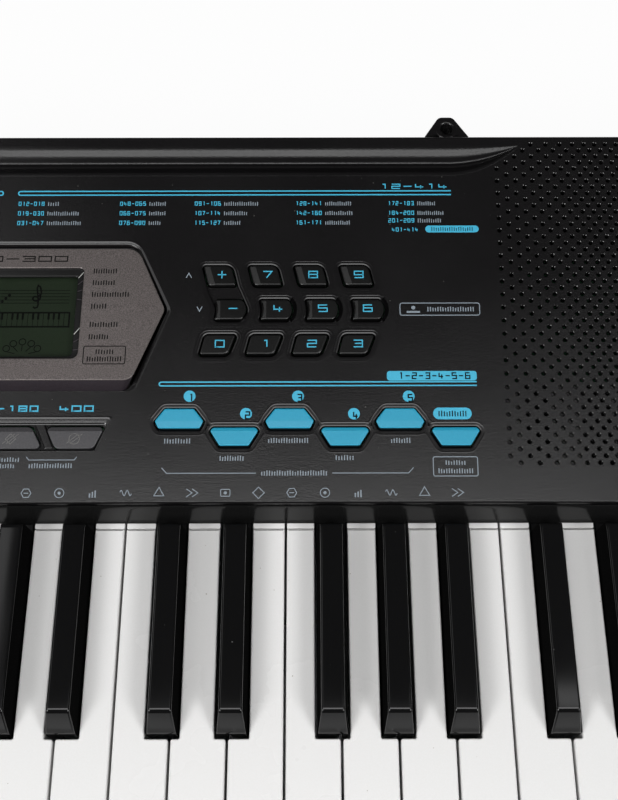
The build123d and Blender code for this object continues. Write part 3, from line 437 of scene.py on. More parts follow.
def add_camera():
    """The photograph's viewpoint, above the right half of the keys."""
    data = bpy.data.cameras.new("camera")
    data.lens = 51.8
    data.clip_start = 0.01
    camera = bpy.data.objects.new("camera", data)
    camera.location = (0.14960, -0.17903, 0.54182)
    camera.rotation_euler = (math.radians(24.82), 0, math.radians(-0.114))
    bpy.context.scene.collection.objects.link(camera)
    bpy.context.scene.camera = camera


def node_group(name, inputs, outputs):
    """An empty group of shader nodes with named sockets, and its two end nodes."""
    tree = bpy.data.node_groups.new(name, "ShaderNodeTree")
    for label, kind, value in inputs:
        socket = tree.interface.new_socket(label, in_out="INPUT", socket_type=kind)
        socket.default_value = value
    for label, kind in outputs:
        tree.interface.new_socket(label, in_out="OUTPUT", socket_type=kind)
    return tree, tree.nodes.new("NodeGroupInput"), tree.nodes.new("NodeGroupOutput")


def add_node(tree, kind, links=None, **values):
    """A node with its values set and its inputs linked from other sockets."""
    made = tree.nodes.new(kind)
    for key, value in values.items():
        setattr(made, key, value)
    for label, source in (links or {}).items():
        if hasattr(source, "is_linked"):
            tree.links.new(source, made.inputs[label])
        else:
            made.inputs[label].default_value = source
    return made


NUMBER = "NodeSocketFloat"
COLOUR = "NodeSocketColor"


def grain_group():
    """Fine moulded grain with broad smudges: colour, roughness and height vary together."""
    inputs = [
        ("Grain Scale", NUMBER, 1500.0),
        ("Smudge Scale", NUMBER, 18.0),
        ("Colour", COLOUR, (0, 0, 0, 1)),
        ("Worn Colour", COLOUR, (0, 0, 0, 1)),
        ("Least Roughness", NUMBER, 0.3),
        ("Most Roughness", NUMBER, 0.5),
    ]
    tree, start, end = node_group("moulded_grain", inputs, [("Colour", COLOUR), ("Roughness", NUMBER), ("Height", NUMBER)])
    place = add_node(tree, "ShaderNodeTexCoord").outputs["Object"]
    fine = add_node(tree, "ShaderNodeTexNoise", {"Vector": place, "Scale": start.outputs["Grain Scale"], "Detail": 3.0})
    broad = add_node(tree, "ShaderNodeTexNoise", {"Vector": place, "Scale": start.outputs["Smudge Scale"], "Detail": 5.0})
    spread = add_node(tree, "ShaderNodeMapRange", {"Value": fine.outputs["Fac"], "From Min": 0.3, "From Max": 0.7})
    colour = add_node(tree, "ShaderNodeMix", data_type="RGBA")
    tree.links.new(spread.outputs["Result"], colour.inputs[0])
    tree.links.new(start.outputs["Colour"], colour.inputs[6])
    tree.links.new(start.outputs["Worn Colour"], colour.inputs[7])
    rough = add_node(tree, "ShaderNodeMapRange", {"Value": broad.outputs["Fac"], "From Min": 0.3, "From Max": 0.7})
    tree.links.new(start.outputs["Least Roughness"], rough.inputs["To Min"])
    tree.links.new(start.outputs["Most Roughness"], rough.inputs["To Max"])
    tree.links.new(colour.outputs[2], end.inputs["Colour"])
    tree.links.new(rough.outputs["Result"], end.inputs["Roughness"])
    tree.links.new(fine.outputs["Fac"], end.inputs["Height"])
    return tree


def dust_group():
    """Sparse pale specks: the cores of a few scattered cells."""
    inputs = [
        ("Colour", COLOUR, (0, 0, 0, 1)),
        ("Dust", COLOUR, (0.3, 0.3, 0.3, 1)),
        ("Scale", NUMBER, 160.0),
        ("Size", NUMBER, 0.05),
    ]
    tree, start, end = node_group("settled_dust", inputs, [("Colour", COLOUR), ("Mask", NUMBER)])
    place = add_node(tree, "ShaderNodeTexCoord").outputs["Object"]
    cells = add_node(tree, "ShaderNodeTexVoronoi", {"Vector": place, "Scale": start.outputs["Scale"]})
    few = add_node(tree, "ShaderNodeSeparateColor", {"Color": cells.outputs["Color"]})
    size = add_node(tree, "ShaderNodeMath", operation="MULTIPLY")
    tree.links.new(few.outputs["Red"], size.inputs[0])
    tree.links.new(start.outputs["Size"], size.inputs[1])
    core = add_node(tree, "ShaderNodeMath", operation="LESS_THAN")
    tree.links.new(cells.outputs["Distance"], core.inputs[0])
    tree.links.new(size.outputs[0], core.inputs[1])
    colour = add_node(tree, "ShaderNodeMix", data_type="RGBA")
    tree.links.new(core.outputs[0], colour.inputs[0])
    tree.links.new(start.outputs["Colour"], colour.inputs[6])
    tree.links.new(start.outputs["Dust"], colour.inputs[7])
    tree.links.new(colour.outputs[2], end.inputs["Colour"])
    tree.links.new(core.outputs[0], end.inputs["Mask"])
    return tree


GRAIN = grain_group()
DUST = dust_group()


def finish(name, colour, worn, rough, grain=1500.0, smudge=18.0, bump=0.00002, dust=None, **sockets):
    """A moulded or painted finish: grain gives colour and roughness, dust lies on top, the rest is set on the shader."""
    material = bpy.data.materials.new(name)
    material.use_nodes = True
    tree = material.node_tree
    shader = tree.nodes["Principled BSDF"]
    values = {
        "Grain Scale": grain,
        "Smudge Scale": smudge,
        "Colour": (*colour, 1),
        "Worn Colour": (*worn, 1),
        "Least Roughness": rough[0],
        "Most Roughness": rough[1],
    }
    texture = add_node(tree, "ShaderNodeGroup", node_tree=GRAIN)
    for label, value in values.items():
        texture.inputs[label].default_value = value
    base = texture.outputs["Colour"]
    if dust:
        specks = add_node(tree, "ShaderNodeGroup", node_tree=DUST)
        specks.inputs["Dust"].default_value = (*dust, 1)
        tree.links.new(base, specks.inputs["Colour"])
        base = specks.outputs["Colour"]
    tree.links.new(base, shader.inputs["Base Color"])
    tree.links.new(texture.outputs["Roughness"], shader.inputs["Roughness"])
    if bump:
        relief = add_node(tree, "ShaderNodeBump", {"Height": texture.outputs["Height"], "Distance": bump, "Strength": 0.6})
        tree.links.new(relief.outputs["Normal"], shader.inputs["Normal"])
    for label, value in sockets.items():
        shader.inputs[label.replace("_", " ")].default_value = value
    return material


def clear_pane():
    """Clear acrylic: mostly see-through, with a light reflection and faint smears."""
    material = finish("clear_pane", (0.004, 0.005, 0.004), (0.005, 0.006, 0.005), (0.04, 0.1), smudge=40.0, bump=0)
    shader = material.node_tree.nodes["Principled BSDF"]
    shader.inputs["Alpha"].default_value = 0.1
    return material


FINISHES = {
    "black_satin": finish(
        "black_satin", (0.0036, 0.0034, 0.0036), (0.0065, 0.006, 0.0065), (0.18, 0.25), grain=1500.0, bump=0.0001, dust=(0.06, 0.06, 0.055)
    ),
    "gloss_black": finish("gloss_black", (0.006, 0.006, 0.006), (0.009, 0.009, 0.009), (0.1, 0.2), bump=0),
    "bronze_grey": finish(
        "bronze_grey", (0.082, 0.072, 0.071), (0.24, 0.21, 0.203), (0.34, 0.42), grain=2300.0, bump=0.00004, Metallic=0.45
    ),
    "clear_pane": clear_pane(),
    "lcd_glass": finish("lcd_glass", (0.015, 0.025, 0.0125), (0.018, 0.03, 0.015), (0.45, 0.55), bump=0, Specular_IOR_Level=0.2),
    "grey_steel": finish("grey_steel", (0.42, 0.42, 0.43), (0.5, 0.5, 0.5), (0.28, 0.4), grain=300.0, Metallic=1.0),
    "bright_steel": finish("bright_steel", (0.6, 0.6, 0.62), (0.66, 0.66, 0.67), (0.12, 0.2), Metallic=1.0),
    "contact_rubber": finish("contact_rubber", (0.42, 0.42, 0.4), (0.5, 0.5, 0.48), (0.6, 0.75)),
    "board_green": finish("board_green", (0.012, 0.09, 0.035), (0.02, 0.13, 0.05), (0.3, 0.45), grain=500.0),
    "speaker_cone": finish("speaker_cone", (0.012, 0.012, 0.012), (0.02, 0.02, 0.02), (0.7, 0.85), grain=900.0),
    "jack_black": finish("jack_black", (0.012, 0.012, 0.012), (0.018, 0.018, 0.018), (0.35, 0.45)),
    "foot_rubber": finish("foot_rubber", (0.015, 0.015, 0.015), (0.03, 0.03, 0.03), (0.75, 0.9), grain=800.0),
    "black_screw": finish("black_screw", (0.03, 0.03, 0.03), (0.05, 0.05, 0.05), (0.3, 0.45), Metallic=0.9),
    "button_black": finish("button_black", (0.0035, 0.0035, 0.0035), (0.0055, 0.0055, 0.0055), (0.22, 0.28), Specular_IOR_Level=0.42),
    "button_grey": finish("button_grey", (0.06, 0.062, 0.066), (0.08, 0.082, 0.086), (0.35, 0.45)),
    "pad_blue": finish("pad_blue", (0.016, 0.3, 0.47), (0.02, 0.33, 0.5), (0.35, 0.45)),
    "button_metal_grey": finish(
        "button_metal_grey", (0.05, 0.049, 0.053), (0.075, 0.073, 0.078), (0.35, 0.45), Metallic=0.3
    ),
    "key_white": finish(
        "key_white", (0.8, 0.795, 0.785), (0.82, 0.815, 0.81), (0.24, 0.28), smudge=9.0, bump=0, dust=(0.45, 0.42, 0.38)
    ),
    "key_black": finish("key_black", (0.003, 0.003, 0.0032), (0.004, 0.004, 0.0042), (0.05, 0.1), bump=0, dust=(0.08,) * 3),
}
POLISHED = finish("polished_edge", (0.0045, 0.0042, 0.0045), (0.0065, 0.006, 0.0065), (0.13, 0.17), bump=0.00002, IOR=1.6)
KEY_SIDE = finish(
    "key_side", (0.003, 0.003, 0.003), (0.006, 0.006, 0.006), (0.45, 0.6), bump=0.00004, Specular_IOR_Level=0.0
)
# Lighter copy of button_black for the number caps' left facets: a painted highlight for the light that the tilted facet
# catches.
CAP_FACET_PAINTED_HIGHLIGHT = finish("cap_facet_painted_highlight", (0.01, 0.01, 0.01), (0.014, 0.014, 0.014), (0.4, 0.5), Specular_IOR_Level=0.4)
# Dark copy of pad_blue for the pads' side walls: painted shade for the shadow in the gap round each pad.
PAD_WALL_PAINTED_SHADE = finish("pad_wall_painted_shade", (0.002, 0.012, 0.018), (0.003, 0.016, 0.024), (0.5, 0.6), bump=0)
PRINT_BLUE = finish("print_blue", (0.045, 0.4, 0.6), (0.055, 0.45, 0.65), (0.4, 0.5), bump=0)
PRINT_GREY = finish("print_grey", (0.2, 0.24, 0.28), (0.24, 0.28, 0.32), (0.4, 0.5), bump=0)
PRINT_DARK = finish("print_dark", (0.003, 0.003, 0.003), (0.004, 0.004, 0.004), (0.5, 0.6), bump=0, Specular_IOR_Level=0.1)
EMBOSSED = finish("embossed_mark", (0.12, 0.12, 0.12), (0.16, 0.155, 0.15), (0.3, 0.4), bump=0, Metallic=0.4)
PRINT_PALE = finish("print_pale", (0.4, 0.4, 0.38), (0.5, 0.5, 0.48), (0.4, 0.5), bump=0)
# Darker copy of bronze_grey: on the plate's front wall it is painted shade for a wall seen darker because of how the
# light falls; it is also the dim ticks' print colour.
BEZEL_WALL_SHADE_AND_TICKS = finish("bezel_wall_painted_shade_and_tick_print", (0.026, 0.02, 0.025), (0.042, 0.033, 0.04), (0.42, 0.52), grain=1700.0, Metallic=0.2)
RECESS_BLACK = finish("recess_black", (0.008, 0.008, 0.008), (0.011, 0.011, 0.011), (0.16, 0.24), bump=0)


def key_sides(k):
    """A white key's full width, and its width between the black keys."""
    x0 = PITCH * (k - 18) + KEY_GAP / 2
    x1 = PITCH * (k - 17) - KEY_GAP / 2
    left = x0
    right = x1
    for _, centre in black_places():
        if x0 - 10 < centre < x0 + 10:
            left = max(left, centre + NOTCH_W / 2)
        if x1 - 10 < centre < x1 + 10:
            right = min(right, centre - NOTCH_W / 2)
    return x0, x1, left, right


def black_places():
    """Names and centres of the 25 black keys from the bass end."""
    places = []
    for octave in range(5):
        start = -PITCH * 18 + OCTAVE * octave
        for note, shift in BLACK_CENTRES.items():
            places.append((f"{note}{2 + octave}", start + shift))
    return places


def edge_profile(top, bottom, radius):
    """Wall and quarter-round edge under a flat top."""
    steps = [(0.0, bottom)]
    for angle in np.radians([0, 22.5, 45, 67.5, 90]):
        steps.append((-radius * (1 - math.cos(angle)), top - radius * (1 - math.sin(angle))))
    return steps


def white_key(form, k):
    """A white key: a capped front part notched for the black keys, a fine groove, and its lower tail."""
    x0, x1, left, right = key_sides(k)
    corners = [(x0, WHITE_FRONT_Y), (x1, WHITE_FRONT_Y)]
    radii = [1.2, 1.2]
    if right < x1:
        corners += [(x1, NOTCH_Y), (right, NOTCH_Y)]
        radii += [0.9, 0.7]
    corners += [(right, LEDGE_Y), (left, LEDGE_Y)]
    radii += [0.4, 0.4]
    if left > x0:
        corners += [(left, NOTCH_Y), (x0, NOTCH_Y)]
        radii += [0.7, 0.9]
    head = rounded(corners, radii, 4)
    stack(form, head, edge_profile(WHITE_TOP, WHITE_BOTTOM, WHITE_EDGE), level, first=True)
    groove = LEDGE_Y + LEDGE_GROOVE
    tail = [(left, groove), (right, groove), (right, TAIL_Y), (left, TAIL_Y)]
    ledge_top = WHITE_TOP - LEDGE_DROP
    stack(form, rounded(tail, [0.4] * 4, 3), edge_profile(ledge_top, WHITE_BOTTOM, 0.25), level, first=True)
    joint = [(left + 0.6, LEDGE_Y - 1), (right - 0.6, LEDGE_Y - 1), (right - 0.6, groove + 1), (left + 0.6, groove + 1)]
    stack(form, np.array(joint), [(0, WHITE_BOTTOM), (0, ledge_top - 1.4)], level, first=True)


def black_section(top):
    """A black key's outline across, in x and z: upright stem, then sides leaning in to the rounded top."""
    half = BLACK_HALF - (top - WHITE_TOP) / (BLACK_TOP - WHITE_TOP) * (BLACK_HALF - BLACK_TOP_HALF)
    corners = [
        (-BLACK_HALF, BLACK_BOTTOM),
        (BLACK_HALF, BLACK_BOTTOM),
        (BLACK_HALF, WHITE_TOP),
        (half, top),
        (-half, top),
        (-BLACK_HALF, WHITE_TOP),
    ]
    return rounded(corners, [0.2, 0.2, 1.0, BLACK_EDGE, BLACK_EDGE, 1.0], 4)


def black_key(form, centre):
    """A black key: sections along Y, whose top falls in an arc at the rear and down a slope at the front."""
    slope = math.atan2(BLACK_TOP - BLACK_SHOULDER, BLACK_SLOPE_Y - BLACK_FRONT_Y)
    stations = []
    rear_r = 2.5
    for angle in np.radians([20, 45, 70, 90]):
        stations.append((BLACK_REAR_Y - rear_r * (1 - math.cos(angle)), BLACK_TOP - rear_r * (1 - math.sin(angle))))
    stations += [(y, BLACK_TOP) for y in (-40.0, -60.0, -80.0)]
    bend_r = 2.6
    start = BLACK_SLOPE_Y + bend_r * math.tan(slope / 2)
    for share in np.linspace(0, 1, 7):
        angle = slope * share
        stations.append((start - bend_r * math.sin(angle), BLACK_TOP - bend_r * (1 - math.cos(angle))))
    foot = BLACK_FRONT_Y + 0.7
    stations.append((foot, BLACK_SHOULDER + 0.7 * math.tan(slope)))
    stations.append((BLACK_FRONT_Y + 0.2, BLACK_SHOULDER + 0.1))
    stations.append((BLACK_FRONT_Y, BLACK_SHOULDER - 0.5))
    loops = []
    for y, top in stations:
        section = black_section(top)
        loops.append(level(centre + section[:, 0], y, section[:, 1]))
    sides = np.zeros(len(loops[0]), int)
    sides[4:15] = 1
    sides[24:] = 1
    rings(form, loops, first=True, finish=sides)
    ledge_top = WHITE_TOP - LEDGE_DROP
    half = BLACK_HALF
    tail = [(-half, BLACK_REAR_Y - 0.5), (half, BLACK_REAR_Y - 0.5), (half, TAIL_Y), (-half, TAIL_Y)]
    stack(
        form, np.array(tail) + [centre, 0], [(0, BLACK_BOTTOM), (0, ledge_top)], level, first=True
    )


def dress_keys():
    """Every key with rounded edges, in the same pieces as the frame's nodes."""
    names = [f"{'cdefgab'[k % 7]}{2 + k // 7}" for k in range(36)]
    first = names.index("b4")
    last = names.index("c6")
    groups = {"low_white_keys": range(first), "high_white_keys": range(last + 1, 36)}
    for k in range(first, last + 1):
        groups[f"white_key_{names[k]}"] = [k]
    for node, members in groups.items():
        form = Form()
        for k in members:
            white_key(form, k)
        make(form, f"{node}_finished", f"{node}_body", [FINISHES["key_white"]], [node])
    blacks = black_places()
    names = [name for name, _ in blacks]
    first = names.index("as4")
    last = names.index("as5")
    groups = {"low_black_keys": blacks[:first], "high_black_keys": blacks[last + 1 :]}
    for name, centre in blacks[first : last + 1]:
        groups[f"black_key_{name}"] = [(name, centre)]
    for node, members in groups.items():
        form = Form()
        for _, centre in members:
            black_key(form, centre)
        finishes = [FINISHES["key_black"], KEY_SIDE]
        make(form, f"{node}_finished", f"{node}_body", finishes, [node])


def lean_outline(x, row, lean):
    """Number button: a slanted rectangle with two large rounded corners."""
    t0, t1 = row
    if lean > 0:
        corners = [(x + lean, t0), (x + lean + NUMBER_W, t0), (x + NUMBER_W, t1), (x, t1)]
        return rounded(corners, [2.4, 1.2, 3.6, 1.2])
    corners = [(x, t0), (x + NUMBER_W, t0), (x + NUMBER_W - lean + FRONT_FLARE, t1), (x - lean, t1)]
    return rounded(corners, [1.2, 3.6, 1.2, 2.4])


def waist_outline(x, row):
    """Middle number button: its left side is an arc 1.1 hollow, its right side one that bulges by 2.4."""
    t0, t1 = row
    middle = (t0 + t1) / 2
    half = (t1 - t0) / 2
    hollow = 1.1
    bulge = 2.4
    left_r = (hollow**2 + half**2) / (2 * hollow)
    right_r = (bulge**2 + half**2) / (2 * bulge)
    swing = np.linspace(-0.72, 0.72, 9)
    right = swing * math.asin(half / right_r)
    left = -swing * math.asin(half / left_r)
    far = x + NUMBER_W + 1.8
    right_side = np.stack([far - right_r + right_r * np.cos(right), middle + right_r * np.sin(right)], -1)
    left_side = np.stack([x + hollow - left_r + left_r * np.cos(left), middle + left_r * np.sin(left)], -1)
    corners = [(x, t0), (far - bulge, t0), *right_side, (far - bulge, t1), (x, t1), *left_side]
    radii = [0.9, 1.2] + [0.05] * 9 + [1.2, 0.9] + [0.05] * 9
    return rounded(corners, radii, 4)


def pad_outline(index):
    """Voice pad: six sides, the long one to the front or to the rear in turn."""
    x = PAD_X0 + PAD_PITCH * index
    even = index % 2 == 0
    t0, t1, tip = PAD_REAR if even else PAD_FRONT
    front = PAD_LONG if even else PAD_SHORT
    rear = PAD_SHORT if even else PAD_LONG
    corners = [(x - front, t0), (x + front, t0), (x + PAD_TIP, tip), (x + rear, t1), (x - rear, t1), (x - PAD_TIP, tip)]
    return rounded(corners, [1.7, 1.7, 1.7, 1.7, 1.7, 1.7])


def function_outline(name):
    """Function button: a trapezoid, narrow to the front, or to the rear for the middle one."""
    x = FUNCTION_X[name]
    t0, t1 = FUNCTION_T
    middle = name == "rhythm_button"
    front = FUNCTION_WIDE + 0.8 if middle else FUNCTION_NARROW
    rear = FUNCTION_NARROW + 0.3 if middle else FUNCTION_WIDE
    radii = [1.7, 1.7, 3.0, 3.0] if middle else [3.0, 3.0, 1.7, 1.7]
    return rounded([(x - front, t0), (x + front, t0), (x + rear, t1), (x - rear, t1)], radii)


# A button's well, out from the cap: flat border, fine step, ridge, then the dark gap
WELL_STEPS = [(3.3, 0.0), (2.95, 0.02), (2.55, 0.02), (2.48, 0.012), (2.28, -0.024), (2.2, -0.028), (1.5, -0.032)]
WELL_STEPS += [(1.42, -0.04), (0.98, -0.135), (0.88, -0.28), (0.7, -0.9), (0.5, -1.45)]


def number_buttons():
    """The twelve number buttons: cap with its left facet, tilted a little and given a lighter finish that is a painted
    highlight, figure, and the well lining round each.
    """
    lining = Form()
    rows = [
        (["plus_button", "number_7_button", "number_8_button", "number_9_button"], "+789", REAR_X, ROW_REAR),
        (["minus_button", "number_4_button", "number_5_button", "number_6_button"], "-456", MIDDLE_X, ROW_MIDDLE),
        (["number_0_button", "number_1_button", "number_2_button", "number_3_button"], "0123", FRONT_X, ROW_FRONT),
    ]
    for row, (names, figures, x0, (t0, t1)) in enumerate(rows):
        for i, name in enumerate(names):
            x = x0 + NUMBER_PITCH * i
            if row == 1:
                loop = waist_outline(x, ROW_MIDDLE)
            else:
                loop = lean_outline(x, (t0, t1), NUMBER_LEAN if row == 0 else -NUMBER_LEAN)
            loop = swell(loop + [-0.6 * (row == 1), NUMBER_SHIFT[row]], -NUMBER_TRIM)
            creases = [
                ((x + NUMBER_LEAN + 3.3, t0), (x + 3.3, t1)),
                ((x + 2.6, t0), (x + 2.6, t1)),
                None,
            ]
            form = Form()
            # The left facet falls a little and takes the lighter finish, a painted highlight.
            cap(form, loop, NUMBER_TOP, creases[row], 0.13, 0.75, facet=2)
            middle = x + NUMBER_W / 2 + (2.3, 1.7 - 0.45 * i, 2.8 - 0.12 * i)[row]
            numerals(form, figures[i], middle - 2.2, (t0 + t1) / 2 - 1.9, 4.4, 3.6, 0.52, base=NUMBER_TOP, finish=1)
            finishes = [FINISHES["button_black"], PRINT_BLUE, CAP_FACET_PAINTED_HIGHLIGHT]
            make(form, f"{name}_finished", f"{name}_body", finishes, [name])
            if name not in ("plus_button", "minus_button"):
                stack(lining, loop, WELL_STEPS, last=False)
    stack(lining, swell(joined_well() + [0, NUMBER_SHIFT[2]], -NUMBER_TRIM), WELL_STEPS, last=False)
    make(lining, "number_wells", CASE, [POLISHED])


def joined_well():
    """The outline round the plus and minus buttons together."""
    corners = [
        (MIDDLE_X, ROW_MIDDLE[0]),
        (MIDDLE_X + NUMBER_W - 1.5, ROW_MIDDLE[0]),
        (MIDDLE_X + NUMBER_W + 1.5, ROW_MIDDLE[0] + 5.0),
        (REAR_X + NUMBER_W + NUMBER_LEAN, ROW_REAR[0]),
        (REAR_X + NUMBER_W, ROW_REAR[1]),
        (REAR_X, ROW_REAR[1]),
        (REAR_X + NUMBER_LEAN + 0.6, ROW_REAR[0] - 2.0),
        (MIDDLE_X + 0.9, ROW_MIDDLE[0] + 6.0),
    ]
    return rounded(corners, [1.2, 3.0, 3.0, 4.0, 3.6, 1.2, 6.0, 4.0])


def chain_loop(distance, side):
    """The outline round the six pads together: highest and lowest edge of all six at each x, smoothed."""
    loops = [swell(pad_outline(i), distance) for i in range(6)]
    low = min(loop[:, 0].min() for loop in loops)
    high = max(loop[:, 0].max() for loop in loops)
    count = 420
    share = (1 - np.cos(np.linspace(0, math.pi, count))) / 2
    x = np.clip(low + (high - low) * (0.85 * np.linspace(0, 1, count) + 0.15 * share), low, high)
    uppers = []
    lowers = []
    for loop in loops:
        right = int(loop[:, 0].argmax())
        ring = np.roll(loop, -right, 0)
        left = int(ring[:, 0].argmin())
        upper = ring[: left + 1][::-1]
        lower = np.vstack([ring[left:], ring[:1]])
        uppers.append(np.interp(x, upper[:, 0], upper[:, 1], left=-1e3, right=-1e3))
        lowers.append(np.interp(x, lower[:, 0], lower[:, 1], left=1e3, right=1e3))
    upper = np.max(uppers, 0)
    lower = np.min(lowers, 0)
    window = np.hanning(11)[1:-1]
    window /= window.sum()
    reach = len(window) // 2
    upper[reach:-reach] = np.convolve(upper, window, "valid")
    lower[reach:-reach] = np.convolve(lower, window, "valid")
    loop = np.concatenate([np.stack([x, lower], -1), np.stack([x, upper], -1)[::-1][1:-1]])
    return flipped(loop) if side < 0 else loop


CHAIN_STEPS = [(2.6, 0.0), (2.2, 0.02), (2.12, 0.02), (2.04, 0.012), (1.78, -0.035), (1.7, -0.04), (1.5, -0.04)]
PAD_RIDGE = [(1.55, -0.035), (0.8, -0.045), (0.72, -0.055), (0.4, -0.12), (0.3, -0.28), (0.15, -0.9), (0.1, -1.45)]
PAD_TRIM = 0.5


def pad_cap(form, index, side, finish=0, wall=1):
    """One voice pad: the front ones have a narrow facet along the rear, the rear ones a wide one to the front."""
    # The wall finish passed on to the cap is a darker painted shade.
    loop = swell(pad_outline(index), -PAD_TRIM)
    t0, t1, tip = PAD_REAR if index % 2 == 0 else PAD_FRONT
    x = PAD_X0 + PAD_PITCH * index
    if side < 0:
        loop = flipped(loop)
        x = -x
    if index % 2:
        line = t1 - 0.22 * (t1 - t0)
        cap(form, loop, PAD_TOP, ((x - PAD_TIP, line), (x + PAD_TIP, line)), 0.3, 0.7, finish, wall=wall)
    else:
        line = t1 - 0.6 * (t1 - t0)
        cap(form, loop, PAD_TOP, ((x + PAD_TIP, line), (x - PAD_TIP, line)), 0.07, 0.7, finish, wall=wall)


def voice_pads():
    """Six pads on the right, each a piece, and the ridged zigzag frame round them."""
    for i in range(6):
        form = Form()
        pad_cap(form, i, 1)
        name = f"voice_pad_{i + 1}"
        # The second finish is the pads' darker wall, a painted shade.
        make(form, f"{name}_finished", f"{name}_body", [FINISHES["pad_blue"], PAD_WALL_PAINTED_SHADE], [name])
    frame_form = Form()
    for side in (1, -1):
        loops = []
        for distance, height in CHAIN_STEPS:
            ring = chain_loop(distance, side)
            loops.append(panel(ring[:, 0], ring[:, 1], height))
        rings(frame_form, loops, last=False)
        for i in range(6):
            loop = pad_outline(i)
            steps = [(d, h + 0.02 * (i % 2)) for d, h in PAD_RIDGE]
            stack(frame_form, flipped(loop) if side < 0 else loop, steps, last=False)
    make(frame_form, "pad_frames", CASE, [POLISHED])


def function_buttons():
    """Three metallic buttons with a darker rear facet and a raised plain mark, and their recess's bevel and lands."""
    t0, t1 = FUNCTION_T
    slot = "button_metal_grey"
    for i, name in enumerate(FUNCTION_X):
        form = Form()
        x = FUNCTION_X[name]
        line = t1 - 2.1
        cap(form, function_outline(name), FUNCTION_TOP, ((x - 14, line), (x + 14, line)), 0.35, 0.35)
        middle = (t0 + t1) / 2 - 0.6
        outline = circle(x, middle, 2.3, (6, 4, 32)[i])
        strip(form, outline, 0.34, base=FUNCTION_TOP - 0.1, top=FUNCTION_TOP + 0.2, closed=True, finish=1)
        for shift in (-0.9, 0.9):
            path = [(x - 2.6 + shift, middle - 2.2), (x + 2.6 + shift, middle + 2.2)]
            strip(form, path, 0.34, base=FUNCTION_TOP - 0.1, top=FUNCTION_TOP + 0.2, finish=1)
        finishes = [FINISHES[slot], EMBOSSED]
        make(form, f"{name}_finished", f"{name}_body", finishes, [name])
    lining = Form()
    centre = FUNCTION_X["rhythm_button"]
    outer = [(centre - 37.1, 23.0), (centre + 37.1, 23.0), (centre + 43.9, 38.7), (centre - 43.9, 38.7)]
    inner = [(centre - 36.4, 23.2), (centre + 36.4, 23.2), (centre + 41.3, 35.0), (centre - 41.3, 35.0)]
    outer = rounded(outer, [1.0, 1.0, 1.3, 1.3])
    inner = rounded(inner, [0.8, 0.8, 0.9, 0.9])
    depth = 0.1 + 0.36 * np.clip((outer[:, 1] - 23.0) / 13.3, 0, 1)
    steps = [(-0.08, 0.0, 0.0), (0.0, 0.06, 0.0), (0.14, 0.06, 0.0), (0.22, -0.02, 0.0), (0.3, -0.03, 0.07), (0.72, 0.0, 0.2)]
    steps += [(0.8, 0.0, 0.44), (0.86, 0.0, 0.84), (0.92, 0.0, 0.9), (0.99, 0.0, 1.0), (1.0, -1.3, 1.0)]
    loops = []
    for share, lift, sink in steps:
        ring = outer + (inner - outer) * share
        loops.append(panel(ring[:, 0], ring[:, 1], lift - depth * sink))
    rings(lining, loops, last=False)
    for side in (-1, 1):
        land = [(-18.4, 24.3), (-14.9, 24.3), (-9.8, 35.9), (-13.8, 35.9)]
        loop = rounded(np.array(land) + [centre, 0], [0.5] * 4)
        if side > 0:
            loop = flipped(loop - [centre, 0]) + [centre, 0]
        stack(lining, loop, [(0.2, -2.2), (0.12, -0.9), (0.0, -0.62), (-0.2, -0.5), (-0.45, -0.46)])
    make(lining, "function_bevel", CASE, [POLISHED])


def left_buttons():
    """Style buttons and pads on the left of the panel, in one piece as in the frame, and their wells."""
    form = Form()
    lining = Form()
    for i in range(6):
        pad_cap(form, i, -1, finish=1, wall=3)
    for row, t in enumerate(STYLE_T):
        for column, x in enumerate(STYLE_X):
            half = STYLE_W / 2
            deep = STYLE_D / 2
            corners = [(x - half, t - deep), (x + half, t - deep), (x + half, t + deep), (x - half, t + deep)]
            loop = rounded(corners, [2.0] * 4)

            cap(form, loop, NUMBER_TOP, bevel=0.42)
            figure = str(1 + column + 4 * row)
            numerals(form, figure, x - 2.15, t - 1.8, 4.3, 3.6, 0.62, base=NUMBER_TOP, finish=2)
            stack(lining, loop, WELL_STEPS, last=False)
    # The last finish is the pads' darker wall, a painted shade.
    finishes = [FINISHES["button_black"], FINISHES["pad_blue"], PRINT_BLUE, PAD_WALL_PAINTED_SHADE]
    make(form, "left_panel_buttons_finished", "left_panel_buttons_body", finishes, ["left_panel_buttons"])
    stack(lining, circle(*POWER, POWER_R, 48), WELL_STEPS)
    make(lining, "style_wells", CASE, [POLISHED])
    button = Form()

    cap(button, circle(*POWER, POWER_R, 48), NUMBER_TOP, bevel=0.6)
    strip(button, [(POWER[0], POWER[1] + 0.6), (POWER[0], POWER[1] + 2.6)], 0.5, base=1.45, top=1.55, finish=1)
    angles = np.radians(np.linspace(130, 410, 25))
    arc = np.stack([POWER[0] + 2.0 * np.cos(angles), POWER[1] + 2.0 * np.sin(angles)], -1)
    strip(button, arc, 0.5, base=1.45, top=1.55, finish=1)
    finishes = [FINISHES["button_black"], PRINT_GREY]
    make(button, "power_button_finished", "power_button_body", finishes, ["power_button"])


